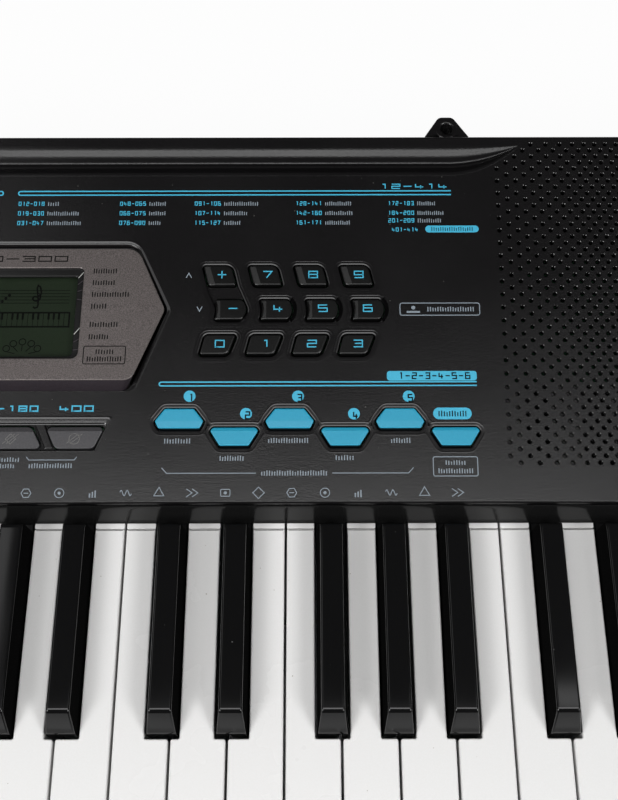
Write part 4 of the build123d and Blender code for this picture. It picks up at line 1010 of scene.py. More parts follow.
def volume_knob():
    """The fluted knob: its radius swings in and out eighteen times round, under a rounded top edge."""
    form = Form()
    angles = np.linspace(0, 2 * math.pi, 216, endpoint=False)
    loops = []
    steps = [(-2.6, 3.0, 0), (0.4, 3.0, 0), (0.42, 9.7, 1), (1.0, 10.0, 1), (7.8, 9.7, 1), (8.8, 9.3, 0.8)]
    steps += [(9.25, 8.6, 0.3), (9.4, 7.6, 0), (9.1, 6.9, 0), (9.05, 3.0, 0), (9.05, 0.3, 0)]
    for height, radius, flute in steps:
        reach = radius - 0.3 * flute * (1 - np.cos(18 * angles)) / 2
        loops.append(panel(VOLUME[0] + reach * np.cos(angles), VOLUME[1] + reach * np.sin(angles), height))
    rings(form, loops)
    path = [(VOLUME[0], VOLUME[1] + 3.5), (VOLUME[0], VOLUME[1] + 8.6)]
    strip(form, path, 0.9, base=9.0, top=9.32, finish=1)
    finishes = [FINISHES["button_black"], PRINT_GREY]
    make(form, "volume_knob_finished", "volume_knob_body", finishes, ["volume_knob"])


def display():
    """The hexagonal display surround: a front wall in a darker brown that is painted shade, near-black side walls,
    speckled plate with a soft edge, and the screen's bevel.
    """
    form = Form()
    foot = rounded(FOOT_HEX, HEX_RADII)
    edge = rounded(PLATE_HEX, HEX_RADII)
    sunk = np.where(foot[:, 1] > APEX_T, -(foot[:, 1] - APEX_T) * 2.0 / 30.2 - 2.4, -2.0)
    height = PLATE_REAR_H + (PLATE_REAR_T - edge[:, 1]) * PLATE_RISE
    loops = [panel(foot[:, 0], foot[:, 1], sunk), panel(foot[:, 0], foot[:, 1], np.minimum(0.0, height - 0.6))]
    # The front wall takes the darker brown as painted shade, the other walls the near-black.
    walls = np.where(np.arange(len(foot)) < 10, 1, 2)
    rings(form, [*loops, plate(edge[:, 0], edge[:, 1], -0.45)], last=False, finish=walls)
    half = SCREEN_X
    opening = [(-half, SCREEN_FRONT_T), (half, SCREEN_FRONT_T), (half, APEX_T), (half, SCREEN_REAR_T)]
    opening += [(-half, SCREEN_REAR_T), (-half, APEX_T)]
    radii = [3.0, 3.0, 1.0, 2.2, 2.2, 1.0]
    hole = rounded(opening, radii)
    loops = []
    for angle in np.radians([0, 30, 60, 90]):
        ring = swell(edge, -0.45 * (1 - math.cos(angle)))
        loops.append(plate(ring[:, 0], ring[:, 1], -0.45 * (1 - math.sin(angle))))
    inner = swell(edge, -0.45)
    for share in (0.5, 1.0):
        ring = inner + (swell(hole, 0.3) - inner) * share
        loops.append(plate(ring[:, 0], ring[:, 1], 0.0))
    loops.append(plate(hole[:, 0], hole[:, 1], -0.22))
    rings(form, loops, last=False)
    glass = [(-45.0, 65.6), (45.0, 65.6), (45.0, APEX_T), (45.0, 105.0), (-45.0, 105.0), (-45.0, APEX_T)]
    inner_hole = rounded(glass, [2.2, 2.2, 1.0, 0.8, 0.8, 1.0])
    loops = []
    steps = [(0.0, -0.22), (0.04, -0.6), (0.1, -0.95), (0.16, -1.02), (0.88, -1.1), (0.95, -1.25), (1.0, -1.6)]
    for share, depth in [*steps, (1.0, -2.18)]:
        ring = hole + (inner_hole - hole) * share
        loops.append(plate(ring[:, 0], ring[:, 1], depth))
    rings(form, loops, last=False, finish=2)
    ticks = [(104.2, 107.2), (100.9, 102.9), (97.4, 98.2), (93.6, 93.2), (76.2, 79.2), (72.4, 73.8), (68.6, 68.8)]
    for side in (-1, 1):
        for t_in, t_out in ticks:
            path = np.array([(side * 45.4, t_in), (side * 47.7, t_out)])
            slope_h = np.array([-1.1, -0.98])

            def on_bevel(x, t, h, slope_h=slope_h):
                """On the recess's side bevel, whose depth runs with x."""
                share = (np.abs(x) - 45.4) / 2.3
                return plate(x, t, slope_h[0] + (slope_h[1] - slope_h[0]) * share + h)

            # Most ticks use the darker brown as print, two use the pale print.
            strip(form, path, 0.34, on_bevel, 0.0, 0.06, finish=3 if t_in in (104.2, 76.2) else 1)
    finishes = [FINISHES["bronze_grey"], BEZEL_WALL_SHADE_AND_TICKS, RECESS_BLACK, PRINT_PALE]
    make(form, "display_bezel_finished", CASE, finishes, ["display_bezel"])
    rim = Form()
    sharp = rounded(swell(np.array(RIM_HEX), 0.15), [0.2] * 6)
    outer = rounded(RIM_HEX, RIM_RADII)
    inner = rounded(GAP_HEX, HEX_RADII)
    rear = np.clip((outer[:, 1] - 68.0) / 18.0, 0.1, 1.0)
    patch = [panel(sharp[:, 0], sharp[:, 1], 0.0), panel(outer[:, 0], outer[:, 1], 0.05 * rear)]
    rings(rim, patch, last=False, finish=1)
    depth = np.clip((outer[:, 1] - APEX_T + 6) / 36.0, 0.0, 1.0) * 1.75
    steps = [(0.0, 0.05, 0), (0.06, 0.04, 0), (0.28, -0.08, 0), (0.36, -0.1, 0), (0.62, -0.16, 0.01), (0.72, -0.23, 0.04)]
    steps += [(0.79, -0.34, 0.14), (0.84, -0.5, 0.3), (0.87, -0.9, 0.6), (1.0, -1.3, 1)]
    loops = []
    for share, lift, sink in steps:
        ring = outer + (inner - outer) * share
        loops.append(panel(ring[:, 0], ring[:, 1], lift * (rear if lift > -0.6 else 1.0) - depth * sink))
    rings(rim, loops, last=False)
    make(rim, "display_rim", CASE, [POLISHED, FINISHES["black_satin"]])


def on_screen(x, t, h=0.0):
    """A place on the liquid crystal glass under the window."""
    return plate(x, t, h - SCREEN_SINK)


def screen_marks():
    """What the screen shows: two staves with a clef, a keyboard strip and two fans of finger dots."""
    form = Form()
    for t in (99.6, 98.0, 96.4, 94.8, 93.2):
        strip(form, [(-42.0, t), (41.5, t)], 0.28, on_screen)
    turn = np.linspace(0, 1, 60)
    radius = 0.4 + 2.0 * turn
    angle = 2.2 * math.pi * turn + 0.4
    coil = np.stack([26.0 + radius * np.cos(angle), 95.8 + 0.9 * radius * np.sin(angle)], -1)
    tail = np.array([(26.3, 98.6), (26.6, 101.0), (25.9, 103.6), (24.9, 104.3), (24.5, 103.0), (25.2, 99.0), (25.6, 94.5)]) + [1.8, -2.2]
    end = np.array([(25.3, 93.3), (24.2, 92.9), (23.4, 93.6)]) + [1.8, -2.2]
    strip(form, np.vstack([coil, tail, end]), 0.8, on_screen)
    for shift in (-50.0, -24.0, 0.0):
        for i in range(3):
            dots = circle(14.0 + shift * 0.6 - 1.5 * i, 97.2 - 1.6 * i, 0.7, 14)
            slab(form, dots, on_screen)
    frame_t = (88.4, 81.4)
    strip(form, [(-42, frame_t[0]), (42, frame_t[0]), (42, frame_t[1]), (-42, frame_t[1])], 0.8, on_screen, closed=True)
    pitch = 84.0 / 36
    for k in range(1, 36):
        strip(form, [(-42 + pitch * k, frame_t[1]), (-42 + pitch * k, frame_t[0])], 0.25, on_screen)
    for k in range(36):
        if k % 7 in (0, 1, 3, 4, 5) and k < 35:
            x = -42 + pitch * (k + 1)
            strip(form, [(x, frame_t[0]), (x, frame_t[0] - 3.4)], 1.0, on_screen)
    for centre in (-22.0, 22.0):
        for i in range(5):
            spread = math.radians(150 - 30 * i)
            x = centre + 8.0 * math.cos(spread)
            t = 67.5 + 6.5 * math.sin(spread)
            strip(form, circle(x, t, 1.5, 20), 0.45, on_screen, closed=True)
            strip(form, [(centre + 3.5 * math.cos(spread), 67.0 + 2.5 * math.sin(spread)), (x, t - 1.5)], 0.4, on_screen)
    make(form, "screen_marks", CASE, [PRINT_DARK])


def plate_marks():
    """Dark label marks on the display plate: a numbered heading, six labels a side and a boxed one."""
    form = Form()
    numerals(form, "100-200-300", -40.0, 112.0, 6.2, 3.0, 0.55, 1.2, plate)
    labels = [(107.2, 63.1), (101.3, 62.5), (95.4, 69.2), (89.5, 59.4), (80.5, 65.0), (74.5, 61.2)]
    for t, end in labels:
        tally(form, 52.0, end, t - 1.2, 2.5, plate)
        tally(form, -end, -52.0, t - 1.2, 2.5, plate)
    for side in (-1, 1):
        x0, x1 = sorted((side * 50.5, side * 69.0))
        box = rounded([(x0, 61.4), (x1, 61.4), (x1, 69.9), (x0, 69.9)], [0.7] * 4)
        strip(form, box, 0.42, plate, closed=True)
        tally(form, x0 + 5.0, x1 - 5.0, 66.1, 2.3, plate)
        tally(form, x0 + 1.4, x1 - 1.4, 62.6, 2.4, plate)
    make(form, "plate_marks", CASE, [PRINT_DARK])


def pill(x0, x1, t0, t1, shares=0.49):
    """A strip with round ends."""
    radius = (t1 - t0) * shares
    return rounded([(x0, t0), (x1, t0), (x1, t1), (x0, t1)], [radius] * 4, 8)


def rule(form, x0, x1, t, open_left=False, open_right=False):
    """A double line joined by a round nose where it isn't open."""
    half = 0.95
    angles = np.radians(np.linspace(90, 270, 9))
    nose = np.stack([half * np.cos(angles), half * np.sin(angles)], -1)
    left = [(x0, t + half), (x0, t - half)] if open_left else (nose + [x0 + half, t]).tolist()
    right = [(x1, t - half), (x1, t + half)] if open_right else (-nose + [x1 - half, t]).tolist()
    if open_left or open_right:
        strip(form, (right + left) if open_right is False else (left[::-1] + [])[:0] + [right[1]] + left + [right[0]], 0.62)
    else:
        strip(form, right + left, 0.62, closed=True)


def list_rows(blue, grey, side):
    """The number list: blue ranges in columns, each followed by a grey bar label."""
    rows = [140.2, 135.4, 130.6]
    columns = [(16.2, [9.0, 24.0, 26.0]), (63.0, [13.0, 13.0, 9.5]), (97.5, [26.0, 18.0, 13.0])]
    columns += [(144.1, [20.0, 21.0, 19.0]), (186.6, [14.0, 20.0, 18.0])]
    start = 12
    for column, (x, widths) in enumerate(columns):
        for row, width in enumerate(widths):
            t = rows[row] + (1.0 if column == 4 and row == 2 else 0.0)
            low = start
            start += 7 + (5 * row + 11 * column) % 13
            if side < 0:
                x_left = -x - 27.0 - 0.35 * width
            else:
                x_left = x
            end = numerals(blue, f"{low:03d}-{start - 1:03d}", x_left, t - 1.05, 1.35, 2.1, 0.36, 0.42)
            tally(grey, end + 0.9, end + 0.9 + width * 0.62, t - 1.05, 2.0, stroke=0.44, pitch=0.95)
    if side > 0:
        numerals(blue, "401-414", 188.2, 126.0, 1.35, 2.1, 0.36, 0.42)
        slab(blue, pill(203.5, 228.0, 125.6, 129.0))
    return start


def icon(form, kind, x, t, size):
    """One small plain mark, chosen by number."""
    half = size / 2
    line = 0.36
    if kind == 0:
        strip(form, circle(x, t, half * 0.8, 24), line, closed=True)
        slab(form, circle(x, t, half * 0.28, 12))
    elif kind == 1:
        strip(form, circle(x, t, half, 3) @ np.array([[0, 1], [-1, 0]]) + [x + t, t - x], line, closed=True)
    elif kind == 2:
        strip(form, circle(x, t, half, 4), line, closed=True)
    elif kind == 3:
        for shift in (-1, 0, 1):
            strip(form, [(x + shift * 1.2, t - half * 0.8), (x + shift * 1.2, t + half * (0.2 + 0.25 * shift))], 0.6)
    elif kind == 4:
        strip(form, [(x - half, t - half * 0.7), (x, t), (x - half, t + half * 0.7)], line)
        strip(form, [(x, t - half * 0.7), (x + half, t), (x, t + half * 0.7)], line)
    elif kind == 5:
        strip(form, circle(x, t, half * 0.85, 6), line, closed=True)
        strip(form, [(x - half * 0.4, t), (x + half * 0.4, t)], line)
    elif kind == 6:
        wave = np.linspace(-1, 1, 17)
        strip(form, np.stack([x + half * wave, t + 1.2 * np.sin(wave * 6.0)], -1), line)
    else:
        square = rounded([(x - half * 0.8, t - half * 0.6), (x + half * 0.8, t - half * 0.6),
                          (x + half * 0.8, t + half * 0.6), (x - half * 0.8, t + half * 0.6)], [0.5] * 4)
        strip(form, square, line, closed=True)
        slab(form, circle(x, t, 0.7, 12))


def panel_print():
    """Everything printed on the panel: blue rules, numbers and discs, grey labels, boxes and marks."""
    blue = Form()
    grey = Form()
    dark = Form()
    double = 0.62
    for side in (1, -1):
        ends = sorted((side * 15.9, side * 215.9)) if side > 0 else (-215.9, 8.7)
        if side > 0:
            for shift in (-0.95, 0.95):
                strip(blue, [(ends[0] + 0.9, 145.5 + shift), (ends[1], 145.5 + shift)], double)
            angles = np.radians(np.linspace(90, 270, 11))
            nose = np.stack([16.8 + 0.95 * np.cos(angles), 145.5 + 0.95 * np.sin(angles)], -1)
            strip(blue, nose, double)
        else:
            for shift in (-0.95, 0.95):
                strip(blue, [(ends[0], 145.5 + shift), (ends[1] - 0.9, 145.5 + shift)], double)
            angles = np.radians(np.linspace(-90, 90, 11))
            nose = np.stack([7.8 + 0.95 * np.cos(angles), 145.5 + 0.95 * np.sin(angles)], -1)
            strip(blue, nose, double)
        heading = 183.0 if side > 0 else -214.0
        numerals(blue, "12-414" if side > 0 else "01-180", heading, 147.4, 4.2, 2.7, 0.5, 1.2)
        x0, x1 = sorted((side * 84.0, side * 224.1))
        for shift in (-0.85, 0.85):
            strip(blue, [(x0 + 0.8, 53.4 + shift), (x1, 53.4 + shift)], double)
        angles = np.radians(np.linspace(90, 270, 11))
        nose = np.stack([x0 + 0.8 + 0.85 * np.cos(angles), 53.4 + 0.85 * np.sin(angles)], -1)
        strip(blue, nose, double)
        head0, head1 = sorted((side * 184.5, side * 224.2))
        slab(blue, pill(head0, head1, 54.8, 59.2, 0.3))
        numerals(dark, "1-2-3-4-5-6", head0 + 5.0, 55.4, 2.4, 3.2, 0.55, 0.55, base=PRINT_T)
        discs = [(97.5, 47.8), (122.4, 39.8), (145.2, 47.7), (169.7, 39.7), (193.9, 47.6)]
        for i, (x, t) in enumerate(discs):
            slab(blue, circle(side * x, t, 2.6, 36))
            numerals(dark, str(i + 1), side * x - 0.5, t - 2.6, 2.4, 3.7, 0.6, base=PRINT_T)
        pill0, pill1 = sorted((side * 204.4, side * 221.3))
        slab(blue, pill(pill0, pill1, 37.1, 42.4))
        tally(dark, pill0 + 2.0, pill1 - 2.0, 38.4, 2.6, base=PRINT_T)
        widths = [(92.6, 27.6, 12.0), (116.4, 19.9, 11.0), (140.9, 27.8, 18.0), (165.4, 20.1, 8.5), (189.9, 27.7, 9.0)]
        for x, t, width in widths:
            tally(grey, side * x - width / 2, side * x + width / 2, t - 1.2, 2.3)
        bracket = np.array([(86.2, 15.6), (88.4, 13.2), (127.0, 13.2)]) * [side, 1]
        strip(grey, bracket[::side], 0.4)
        bracket = np.array([(160.0, 13.2), (193.0, 13.2), (195.2, 15.6)]) * [side, 1]
        strip(grey, bracket[::side], 0.4)
        label0, label1 = sorted((side * 129.0, side * 158.0))
        tally(grey, label0, label1, 12.1, 2.3)
        x0, x1 = sorted((side * 203.8, side * 223.0))
        box = rounded([(x0, 11.8), (x1, 11.8), (x1, 20.3), (x0, 20.3)], [0.8] * 4)
        strip(grey, box, 0.4, closed=True)
        tally(grey, x0 + 5.0, x1 - 5.0, 16.7, 2.1)
        tally(grey, x0 + 1.8, x1 - 1.8, 13.0, 2.2)
    list_rows(blue, grey, 1)
    list_rows(blue, grey, -1)
    tally(dark, 206.0, 225.5, 126.3, 2.0, base=PRINT_T, stroke=0.34, pitch=1.0)
    box = rounded([(191.0, 85.4), (226.8, 85.4), (226.8, 91.2), (191.0, 91.2)], [1.0] * 4)
    strip(grey, box, 0.42, closed=True)
    strip(grey, [(194.0, 87.0), (200.0, 87.0)], 0.9)
    slab(grey, circle(197.0, 89.0, 0.9, 14))
    tally(grey, 203.0, 224.5, 87.2, 2.2)
    for x, t, up in ((95.7, 104.7, 1), (100.9, 88.6, -1)):
        strip(grey, [(x - 1.2, t - up * 1.1), (x, t + up * 1.1), (x + 1.2, t - up * 1.1)], 0.42)
    for x, figures, wide in ((-7.6, "152", 4.2), (19.6, "1-180", 3.9), (48.0, "400", 4.4)):
        span = len(figures) * (wide + 1.0) - 1.0
        numerals(blue, figures, x - span / 2, 40.8, wide, 2.9, 0.62, 1.0)
    strip(grey, [(27.4, 20.6), (28.5, 19.2), (48.2, 19.2), (49.3, 20.6)], 0.36)
    tally(grey, 28.4, 47.6, 15.6, 2.2)
    tally(grey, 10.6, 24.6, 18.4, 2.0)
    tally(grey, 12.6, 22.6, 15.6, 2.0)
    tally(grey, -18.0, -2.0, 18.3, 2.0)
    for i in range(15):
        icon(grey, (3 * i + 2) % 8, 14.0 + 14.28 * i, 4.6, 5.0)
        icon(grey, (5 * i + 1) % 8, -14.5 - 14.28 * i, 4.6, 5.0)
    for x, t in ((-205.0, 81.0), (-205.0, 111.5)):
        tally(grey, x - 6, x + 6, t - 1.5, 2.1)
    for i in range(11):
        angle = math.radians(-60 + 30 * i)
        x = VOLUME[0] + 12.6 * math.cos(angle)
        t = VOLUME[1] + 12.6 * math.sin(angle)
        slab(grey, circle(x, t, 0.35 + 0.03 * (10 - i), 12))
    make(blue, "panel_print_blue", CASE, [PRINT_BLUE])
    make(grey, "panel_print_grey", CASE, [PRINT_GREY])
    make(dark, "panel_print_dark", CASE, [PRINT_DARK])


def grille_columns():
    """Column places: each gap is a fixed share of the last until it reaches the steady one."""
    places = [GRILLE_X0]
    gap = GRILLE_STEP0
    while places[-1] < GRILLE_X1:
        places.append(places[-1] + gap)
        gap = max(GRILLE_STEP1, gap * GRILLE_SHRINK)
    return np.array(places)


def grille(side):
    """Perforated panel area: every hole has a cell of eight quads, a bevelled edge and a wall;
    plain quads fill the rows' ends, where the staggered cells leave half a cell."""
    columns = grille_columns()
    form = Form()
    last = len(columns) - 1
    eight = np.radians(np.arange(8) * 45.0)
    ring = np.stack([np.cos(eight), np.sin(eight)], -1)
    cell = np.sign(np.round(ring, 3))
    centres = []
    spans = []
    for row in range(GRILLE_ROWS):
        t = GRILLE_T0 + GRILLE_PITCH * row
        start = max(0, row - TIP_ROW)
        first = start + (start + row + 1) % 2
        end = last - (last + row + 1) % 2
        for k in range(first + 1, end, 2):
            centres.append((columns[k], t))
            spans.append((columns[k - 1], columns[k + 1]))
        for a, b in ((start, first), (end, last)):
            if b > a:
                corners = np.array([(a, -1), (b, -1), (b, 1), (a, 1)])
                x = side * columns[corners[:, 0]]
                quad = panel(x, t + corners[:, 1] * GRILLE_PITCH / 2, 0.0)
                form.add(quad if side > 0 else quad[::-1], [[0, 1, 2, 3]])
    centres = np.array(centres)
    spans = np.array(spans)
    outer = np.empty((len(centres), 8, 2))
    reach = np.where(cell[:, 0] > 0, spans[:, 1:] - centres[:, :1], centres[:, :1] - spans[:, :1])
    outer[:, :, 0] = centres[:, :1] + cell[None, :, 0] * reach
    outer[:, :, 1] = centres[:, 1:] + cell[None, :, 1] * GRILLE_PITCH / 2
    levels = [outer, centres[:, None] + ring * (HOLE_R + HOLE_EDGE), centres[:, None] + ring * HOLE_R]
    levels.append(levels[2])
    heights = [0.0, 0.0, -0.2, -PANEL_T + 0.2]
    points = []
    for loop, height in zip(levels, heights):
        points.append(panel(side * loop[:, :, 0], loop[:, :, 1], height))
    points = np.stack(points, 1)
    base = np.arange(len(centres))[:, None, None] * 32
    row = np.arange(3)[None, :, None] * 8
    here = np.arange(8)[None, None]
    there = (here + 1) % 8
    quads = np.stack([base + row + here, base + row + there, base + row + 8 + there, base + row + 8 + here], -1)
    quads = quads.reshape(-1, 4)
    form.add(points, (quads if side > 0 else quads[:, ::-1]).tolist())
    name = "right_grille" if side > 0 else "left_grille"
    make(form, name, CASE, [FINISHES["black_satin"]])


def show_flats(mesh):
    """Smooth shading, but for edges over thirty degrees, the shallow ones between two flat areas
    and every edge of the panel's own plane, whose points have no height over it."""
    mesh.polygons.foreach_set("use_smooth", np.ones(len(mesh.polygons), bool))
    mesh.set_sharp_from_angle(angle=math.radians(30))
    up = np.array([0, -PANEL_SIN, PANEL_COS])
    base = float(panel(0, 0, 0) @ up)
    shape = bmesh.new()
    shape.from_mesh(mesh)
    flat = {face.index: all(abs(np.array(v.co) @ up - base) < 2e-5 for v in face.verts) for face in shape.faces}
    for edge in shape.edges:
        if len(edge.link_faces) != 2:
            continue
        one, other = edge.link_faces
        if flat[one.index] != flat[other.index] or 0.006 < edge.calc_face_angle(0.0) < 0.07:
            edge.smooth = False
    shape.to_mesh(mesh)
    shape.free()


def upper_case():
    """The top shell: the frame's shape with its speaker areas and music ledge taken out for finer surfaces."""
    source = frame["nodes"]["upper_case"]
    mesh = source.data.copy()
    shape = bmesh.new()
    shape.from_mesh(mesh)
    bmesh.ops.remove_doubles(shape, verts=shape.verts, dist=1e-6)
    columns = grille_columns()
    t_low = GRILLE_T0 - GRILLE_PITCH / 2
    t_high = GRILLE_T0 + GRILLE_PITCH * (GRILLE_ROWS - 0.5)
    x_out = columns[-1]
    slope = np.array([0, PANEL_COS, PANEL_SIN])
    up = np.array([0, -PANEL_SIN, PANEL_COS])
    cuts = []
    steps = GRILLE_ROWS - TIP_ROW
    for x in (x_out, *columns[:steps]):
        for side in (-1, 1):
            cuts.append(((side * x * MM, 0, 0), (1, 0, 0)))
    for t in (t_low, *(t_high - GRILLE_PITCH * i for i in range(steps))):
        cuts.append((tuple(panel(0, t, 0)), tuple(slope)))
    for place, normal in cuts:
        everything = shape.verts[:] + shape.edges[:] + shape.faces[:]
        bmesh.ops.bisect_plane(shape, geom=everything, plane_co=place, plane_no=normal, dist=1e-7)
    origin = panel(0, 0, 0)
    gone = []
    for face in shape.faces:
        centre = np.array(face.calc_center_median())
        x = abs(centre[0]) / MM
        t = float((centre - origin) @ slope) / MM
        h = float((centre - origin) @ up) / MM
        row = int((t - t_low) // GRILLE_PITCH)
        in_grille = t_low < t < t_high and columns[max(0, row - TIP_ROW)] < x < x_out
        if in_grille and -PANEL_T - 0.4 < h < 0.2:
            gone.append(face)
        in_trough = TROUGH_FRONT_T - 0.2 < t < TROUGH_REAR_T + 0.2 and x < TROUGH_TIP and -TROUGH_DEPTH - 0.5 < h < -0.03
        if in_trough and not in_grille and face.normal.z > 0.2:
            gone.append(face)
        if RIM_HEX[0][1] < t < RIM_HEX[3][1] and x < RIM_HEX[2][0] and -2.6 < h < -0.01 and face.normal.z > 0.2:
            gone.append(face)
    bmesh.ops.delete(shape, geom=list(set(gone)), context="FACES")
    shape.to_mesh(mesh)
    shape.free()
    mesh.materials.clear()
    mesh.materials.append(FINISHES["black_satin"])
    show_flats(mesh)
    piece = bpy.data.objects.new("upper_case_finished", mesh)
    bpy.context.scene.collection.objects.link(piece)
    even = piece.modifiers.new("even_normals", "WEIGHTED_NORMAL")
    even.keep_sharp = True
    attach(piece, CASE)
    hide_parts("upper_case")
    grille(1)
    grille(-1)


def trough():
    """The music ledge: across it a rounded lip, a front slope to the valley, a step and a long rear slope
    whose height swings like a line less its sine; along it the front edge and the valley bend back to meet the rear edge at the tip."""
    along = np.concatenate([np.linspace(0, TROUGH_HALF - 6, 9), np.linspace(TROUGH_HALF, TROUGH_TIP, 40)])
    along = np.concatenate([-along[::-1][:-1], along])
    share = np.clip((np.abs(along) - TROUGH_HALF) / (TROUGH_TIP - TROUGH_HALF), 0, 1)
    fade = 0.12 * share + 0.88 * share**2.1
    front = TROUGH_FRONT_T + fade * (TROUGH_REAR_T - TROUGH_FRONT_T)
    valley = TROUGH_VALLEY_T + fade * (TROUGH_REAR_T - TROUGH_VALLEY_T)
    depth = 1 - fade
    rear = np.full_like(front, TROUGH_REAR_T)
    rows = [(front - 0.7, 0 * depth), (front - 0.3, 0.06 + 0 * depth)]
    front = front + 0.8 * depth
    rows += [(front - 0.1, 0.06 - 0.02 * depth), (front + 0.25, -0.08 * depth)]
    for share in (0.25, 0.6, 0.88, 0.97):
        rows.append((front + (valley - front) * share, -LEDGE_STEP[0] * depth * share))
    rows.append((valley + (rear - valley) * 0.02, -LEDGE_STEP[0] * depth))
    rows.append((valley + (rear - valley) * 0.05, -(LEDGE_STEP[0] - 0.5) * depth))
    for share, lift in ((0.085, -0.14), (0.11, 0.02), (0.15, 0.14)):
        rows.append((valley + (rear - valley) * share, -(LEDGE_STEP[1] - lift) * depth))
    for share in np.linspace(0.2, 1.0, 18):
        swing = np.clip((share - 0.3) / 0.7, 0, 1)
        rise = swing - np.sin(2 * math.pi * swing) / (2 * math.pi)
        rows.append((valley + (rear - valley) * share, -(LEDGE_STEP[1] - 0.2) * (1 - rise) * depth))
    rows.append((rear + 0.3, 0.02 + 0 * depth))
    rows.append((rear + 0.7, 0 * depth))
    grid = np.stack([panel(along, t, h) for t, h in rows], 0)
    count, size = grid.shape[:2]
    row = np.arange(count - 1)[:, None] * size
    here = np.arange(size - 1)[None]
    quads = np.stack([row + here, row + here + 1, row + size + here + 1, row + size + here], -1)
    form = Form()
    form.add(grid, quads.reshape(-1, 4).tolist())
    for side in (-1, 1):
        loop = circle(side * TAB_X, STAND_HOLE_Y, STAND_HOLE_R, 40)
        steps = [(2.3, TAB_TOP), (2.1, TAB_TOP + 0.2), (1.8, TAB_TOP + 0.36), (1.4, TAB_TOP + 0.4)]
        steps += [(1.0, TAB_TOP + 0.3), (0.6, TAB_TOP - 0.05), (0.3, TAB_TOP - 0.5), (0.05, TAB_TOP - 1.2)]
        steps += [(-0.02, TAB_TOP - 2.2), (-0.02, TAB_TOP - 9.9)]
        stack(form, loop, steps, level, last=False)
    make(form, "music_ledge", CASE, [FINISHES["black_satin"]], sharp=50.0)


def fallboard():
    """The glossy strip behind the keys: one section swept along the key bed, its lower edge rounded under."""
    section = [(-12.2, 72.9), (-12.7, 72.4), (-13.3, 71.0), (-16.2, 63.8), (-16.7, 62.9), (-16.75, 62.6), (-16.5, 62.4)]
    section += [(-15.6, 62.4)]
    y, z = np.array(section).T
    x = np.linspace(-KEY_BED_HALF, KEY_BED_HALF, 3)[:, None]
    form = Form()
    count = len(section)
    row = np.arange(2)[:, None] * count
    here = np.arange(count - 1)[None]
    quads = np.stack([row + here + 1, row + count + here + 1, row + count + here, row + here], -1)
    form.add(level(x, y, z), quads.reshape(-1, 4).tolist())
    make(form, "fallboard_finished", CASE, [FINISHES["gloss_black"]], ["fallboard_strip"])


def finish_kept_nodes():
    """The frame's own pieces that stay as they are get their finishes."""
    slots = {s["node"]: s["material_slot"] for s in frame["record"]["subparts"]}
    for name, piece in frame["nodes"].items():
        piece.data.materials.clear()
        piece.data.materials.append(FINISHES[slots[name]])


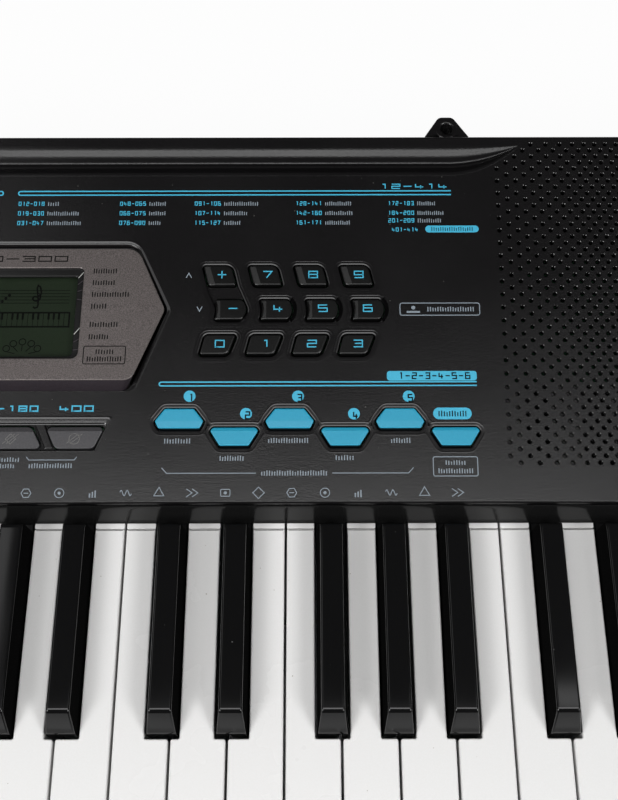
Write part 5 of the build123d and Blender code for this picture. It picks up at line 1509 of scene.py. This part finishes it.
def studio():
    """A pale floor, a pale world and soft lamps to the front left, the front right and above."""
    floor_material = bpy.data.materials.new("pale_floor")
    floor_material.use_nodes = True
    tree = floor_material.node_tree
    output = tree.nodes["Material Output"]
    shader = tree.nodes["Principled BSDF"]
    shader.inputs["Roughness"].default_value = 0.8
    noise = add_node(tree, "ShaderNodeTexNoise", {"Scale": 3.0})
    tone = add_node(tree, "ShaderNodeMapRange", {"Value": noise.outputs["Fac"], "To Min": 0.84, "To Max": 0.86})
    tree.links.new(tone.outputs["Result"], shader.inputs["Base Color"])
    glow = add_node(tree, "ShaderNodeEmission", {"Color": (1, 1, 1, 1), "Strength": 1.0})
    rays = add_node(tree, "ShaderNodeLightPath")
    seen = add_node(tree, "ShaderNodeMath", operation="MULTIPLY")
    tree.links.new(rays.outputs["Is Camera Ray"], seen.inputs[0])
    seen.inputs[1].default_value = 0.95
    mix = add_node(tree, "ShaderNodeMixShader")
    tree.links.new(seen.outputs[0], mix.inputs[0])
    tree.links.new(shader.outputs[0], mix.inputs[1])
    tree.links.new(glow.outputs[0], mix.inputs[2])
    tree.links.new(mix.outputs[0], output.inputs["Surface"])
    reach = 6.0
    mesh = bpy.data.meshes.new("floor")
    mesh.from_pydata([(-reach, -reach, 0), (reach, -reach, 0), (reach, reach, 0), (-reach, reach, 0)], [], [(0, 1, 2, 3)])
    mesh.materials.append(floor_material)
    floor = bpy.data.objects.new("floor", mesh)
    bpy.context.scene.collection.objects.link(floor)
    world = bpy.data.worlds.new("world")
    world.use_nodes = True
    bpy.context.scene.world = world
    tree = world.node_tree
    background = tree.nodes["Background"]
    rays = add_node(tree, "ShaderNodeLightPath")
    level_of = add_node(tree, "ShaderNodeMapRange", {"Value": rays.outputs["Is Camera Ray"], "To Min": 0.055, "To Max": 1.0})
    tree.links.new(level_of.outputs["Result"], background.inputs["Strength"])
    background.inputs["Color"].default_value = (1, 1, 1, 1)
    lamps = {
        "lamp_left": ((-1.05, -1.1, 1.45), (0.7, 0.7), 21.0),
        "lamp_right": ((1.4, -1.1, 1.45), (0.7, 0.7), 21.0),
        "lamp_top": ((0.0, -0.32, 1.65), (1.5, 0.6), 9.2),
        "lamp_top_rear": ((0.1, 0.095, 1.65), (1.9, 0.15), 0.42),
        "lamp_top_right": ((0.85, 0.1, 1.65), (0.6, 0.22), 0.7),
        "lamp_top_left": ((-0.8, 0.3, 1.65), (0.8, 0.6), 1.5),
    }
    for name, (place, size, power) in lamps.items():
        data = bpy.data.lights.new(name, "AREA")
        data.shape = "RECTANGLE"
        data.size = size[0]
        data.size_y = size[1]
        data.energy = power
        lamp = bpy.data.objects.new(name, data)
        lamp.location = place
        if not name.startswith("lamp_top"):
            aim = np.array([0.15, 0.0, 0.08]) - np.array(place)
            yaw = math.atan2(-aim[0], aim[1])
            lamp.rotation_euler = (math.atan2(math.hypot(aim[0], aim[1]), -aim[2]), 0, yaw)
        bpy.context.scene.collection.objects.link(lamp)


add_camera()
finish_kept_nodes()
upper_case()
trough()
display()
screen_marks()
plate_marks()
number_buttons()
voice_pads()
function_buttons()
left_buttons()
volume_knob()
dress_keys()
fallboard()
panel_print()
studio()

bpy.context.scene.view_settings.view_transform = "Standard"
